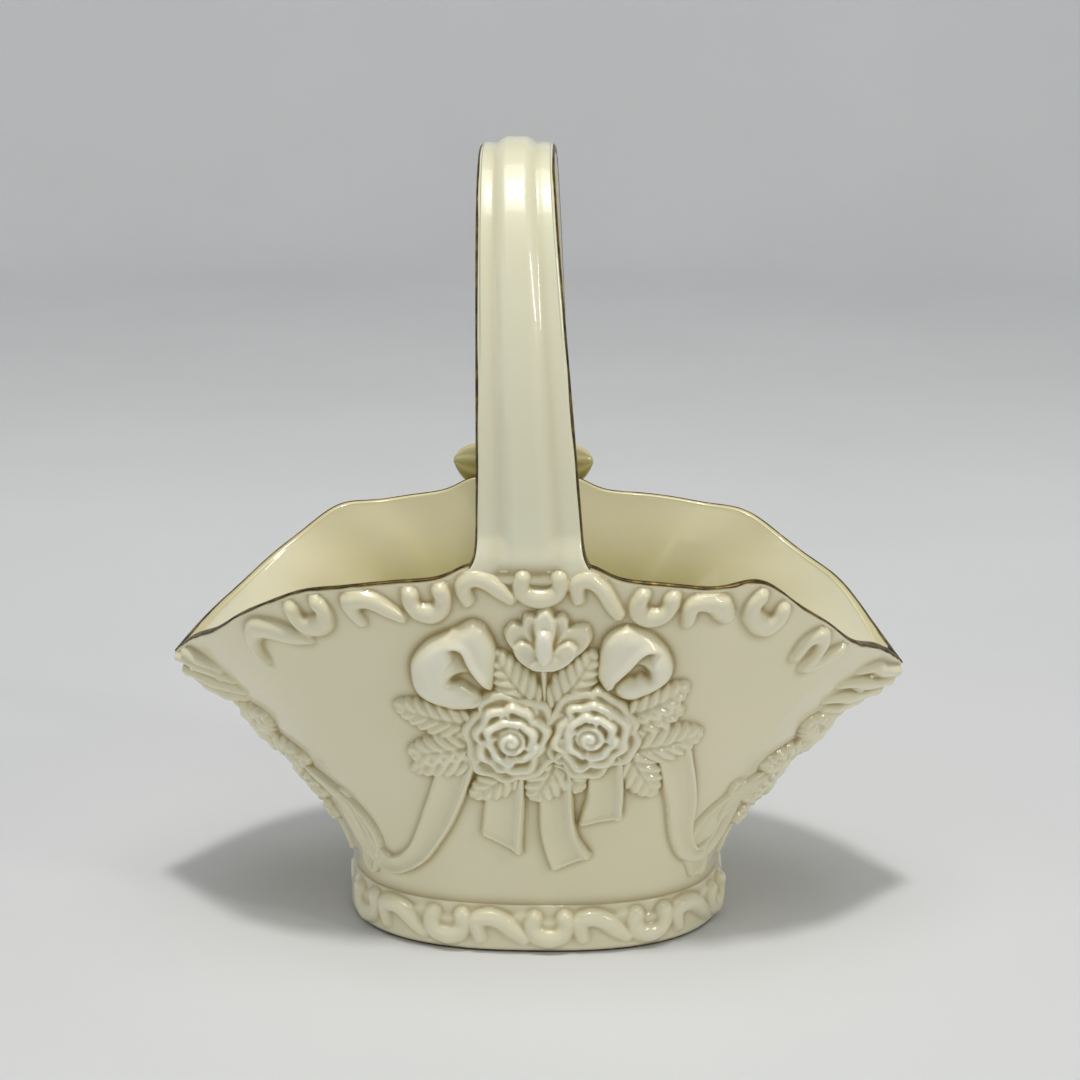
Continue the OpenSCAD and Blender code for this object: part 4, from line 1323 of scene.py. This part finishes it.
def build_rear_loop(side, word):
    """Plump folded loop with lengthwise pleats that meet in its outer point."""
    steps, m = 70, 72
    q = np.linspace(0.0, 1.0, steps)
    swell_q = np.clip(1 - q**4, 0, 1) ** 0.7
    open_ = 0.55 + 0.45 * smoothstep(q / 0.35)
    a = np.linspace(0, 2 * math.pi, m, endpoint=False)
    pleat = 1 + 0.075 * np.cos(9 * a)[None] * (0.35 + 0.65 * swell_q[:, None])
    z = (7.4 * swell_q * open_)[:, None] * np.sin(a)[None] * pleat
    y = (2.25 * swell_q**0.8 * (0.75 + 0.25 * open_))[:, None] * np.cos(a)[None] * pleat
    x = HANDLE_BACK_X - 0.4 + side * (2.6 + 18.4 * q)
    lift = 2.2 * q**3 - 1.5
    rings = np.stack([x[:, None] + 0 * z, BOW_Y + y, BOW_Z + lift[:, None] + z], -1)[:-1]
    verts, faces = capped_tube(rings, rings[0].mean(0), [x[-1], BOW_Y, BOW_Z])
    # painted shade: darker and olive on the loop's lower side and in its pleats' grooves, lighter on
    # top; the caps get a middle tone
    shade = np.clip(0.74 - 0.34 * np.sin(a) + 0.2 * (np.cos(9 * a) < -0.2), 0, 0.95)
    pool_and_painted_shading = np.concatenate([np.tile(shade, len(rings)), [0.5, 0.5]])
    attrs = {"pool_and_painted_shading": glaze(pool_and_painted_shading), "olive_shade": np.ones(len(verts))}
    return closed_piece(
        mat_sprig, "sprig_porcelain", "rear_bow_loop_" + word,
        "rear_bow_ribbon_" + word, verts, faces, attrs,
    )


def build_rear_knot():
    """Small pleated ball between the two rear loops."""
    n, m = 48, 32
    half_w, half_d, half_h = 4.2, 2.5, 4.6
    a = np.linspace(0, math.pi, n)[1:-1]
    b = np.linspace(0, 2 * math.pi, m, endpoint=False)
    A, B = np.meshgrid(a, b, indexing="ij")
    pleat = 1 + 0.06 * np.cos(6 * B)
    x = HANDLE_BACK_X + half_w * np.sin(A) * np.cos(B) * pleat
    y = BOW_Y + half_d * np.sin(A) * np.sin(B) * pleat
    rings = np.stack([x, y, BOW_Z + half_h * np.cos(A)], -1)
    top, bottom = [[HANDLE_BACK_X, BOW_Y, BOW_Z + side * half_h] for side in (1, -1)]
    verts, faces = capped_tube(rings, top, bottom)
    # painted shade: the knot is darkened and tinted olive all over
    attrs = {"pool_and_painted_shading": glaze(np.full(len(verts), 0.5)), "olive_shade": np.ones(len(verts))}
    return closed_piece(
        mat_sprig, "sprig_porcelain", "rear_bow_knot",
        "rear_bow_knot_body", verts, faces, attrs,
    )


build_bowl()
build_floor()
build_foot()
build_handle()
for side in (-1, 1):
    build_handle_gilding(side)
    build_rim_gilding(side)
build_foot_gilding()
build_rear_loop(-1, "left")
build_rear_loop(1, "right")
build_rear_knot()


# ---------------------------------------------------------------------------
# Stage, lights and camera
# ---------------------------------------------------------------------------
def build_stage():
    """Round floor whose rim curves up into a wall all the way round, so that it also closes
    views from the sides and the back. Its tone is lighter towards the back and the top: painted light
    and shade that set how bright the floor and the backdrop come out."""
    r, top, bend, n = 1500.0, 1100.0, 300.0, 96
    flat = r - bend
    prof = [(d, 0.0) for d in (1e-3, 120.0, 200.0, 330.0, 520.0, 800.0, flat)]
    for a in np.linspace(0, math.pi / 2, 16)[1:]:
        prof.append((flat + bend * math.sin(a), bend - bend * math.cos(a)))
    prof.append((r, top))
    turn = np.linspace(0, 2 * math.pi, n, endpoint=False)
    rings = np.array([[[d * math.cos(t), d * math.sin(t), z] for t in turn] for d, z in prof])
    far_off = smoothstep((rings[..., 1] + rings[..., 2] - 60) / 420)
    faces = tube_faces(len(prof), n, False)
    ob = make_object("stage_sweep", rings.reshape(-1, 3), faces, {"far": far_off})
    m, nt, b = new_material("stage_cloth")
    far = nt.nodes.new("ShaderNodeAttribute")
    far.attribute_name = "far"
    # painted light and shade: darker near the front of the floor, lighter towards the back and the top
    near_tone, far_tone = (0.74, 0.752, 0.765, 1), (0.82, 0.835, 0.85, 1)
    tone = ramp(nt, far.outputs["Fac"], [(0.0, near_tone), (1.0, far_tone)])
    cloth = noise(nt, 6.0, 4.0)
    weave = ramp(nt, cloth.outputs["Fac"], [(0.3, grey(0.96)), (0.7, grey(1.0))])
    base = mix_color(nt, 1.0, tone.outputs["Color"], weave.outputs["Color"], "MULTIPLY")
    nt.links.new(base, b.inputs["Base Color"])
    b.inputs["Roughness"].default_value = 0.85
    ob.data.materials.append(m)


def area(name, loc, target, size, power, color):
    """Rectangular lamp at loc, in metres, that faces target."""
    d = bpy.data.lights.new(name, "AREA")
    d.shape = "RECTANGLE"
    d.size, d.size_y = size
    d.energy = power
    d.color = color
    o = bpy.data.objects.new(name, d)
    bpy.context.scene.collection.objects.link(o)
    o.location = loc
    o.rotation_euler = (Vector(target) - Vector(loc)).to_track_quat("-Z", "Y").to_euler()


build_stage()
# a small lamp overhead, a tall window at the right, a large fill at the left and a soft ceiling
area("lamp", (0.02, -0.22, 1.30), (0, 0, 0.08), (0.12, 0.12), 6.2, (1.0, 0.98, 0.94))
area("window", (0.95, -0.60, 0.75), (0, 0, 0.09), (0.10, 0.42), 1.9, (1.0, 0.96, 0.91))
area("fill", (-1.0, -0.9, 0.5), (0, 0, 0.08), (0.8, 0.8), 1.0, (0.90, 1.0, 0.96))
area("sky", (0.0, -0.1, 1.5), (0, 0, 0.05), (1.2, 1.0), 6.2, (1.0, 0.995, 0.97))
world = bpy.data.worlds.new("studio")
bpy.context.scene.world = world
world.use_nodes = True
bg = world.node_tree.nodes["Background"]
bg.inputs["Color"].default_value = (0.97, 0.98, 1.0, 1)
bg.inputs["Strength"].default_value = 0.17

# camera: angle round from the front, distance and height in metres, and where it looks
CAM_AZ, CAM_DIST, CAM_H = math.radians(2.13), 0.6487, 0.2755
CAM_AIM = Vector((0.00094, 0.0, 0.10535))
cam_data = bpy.data.cameras.new("photo_view")
cam_data.lens = 80.0
cam_data.sensor_width = 36.0
cam_data.clip_start = 0.01
cam = bpy.data.objects.new("photo_view", cam_data)
bpy.context.scene.collection.objects.link(cam)
cam.location = (CAM_DIST * math.sin(CAM_AZ), -CAM_DIST * math.cos(CAM_AZ), CAM_H)
cam.rotation_euler = (CAM_AIM - cam.location).to_track_quat("-Z", "Y").to_euler()
bpy.context.scene.camera = cam
bpy.context.scene.view_settings.view_transform = "Standard"
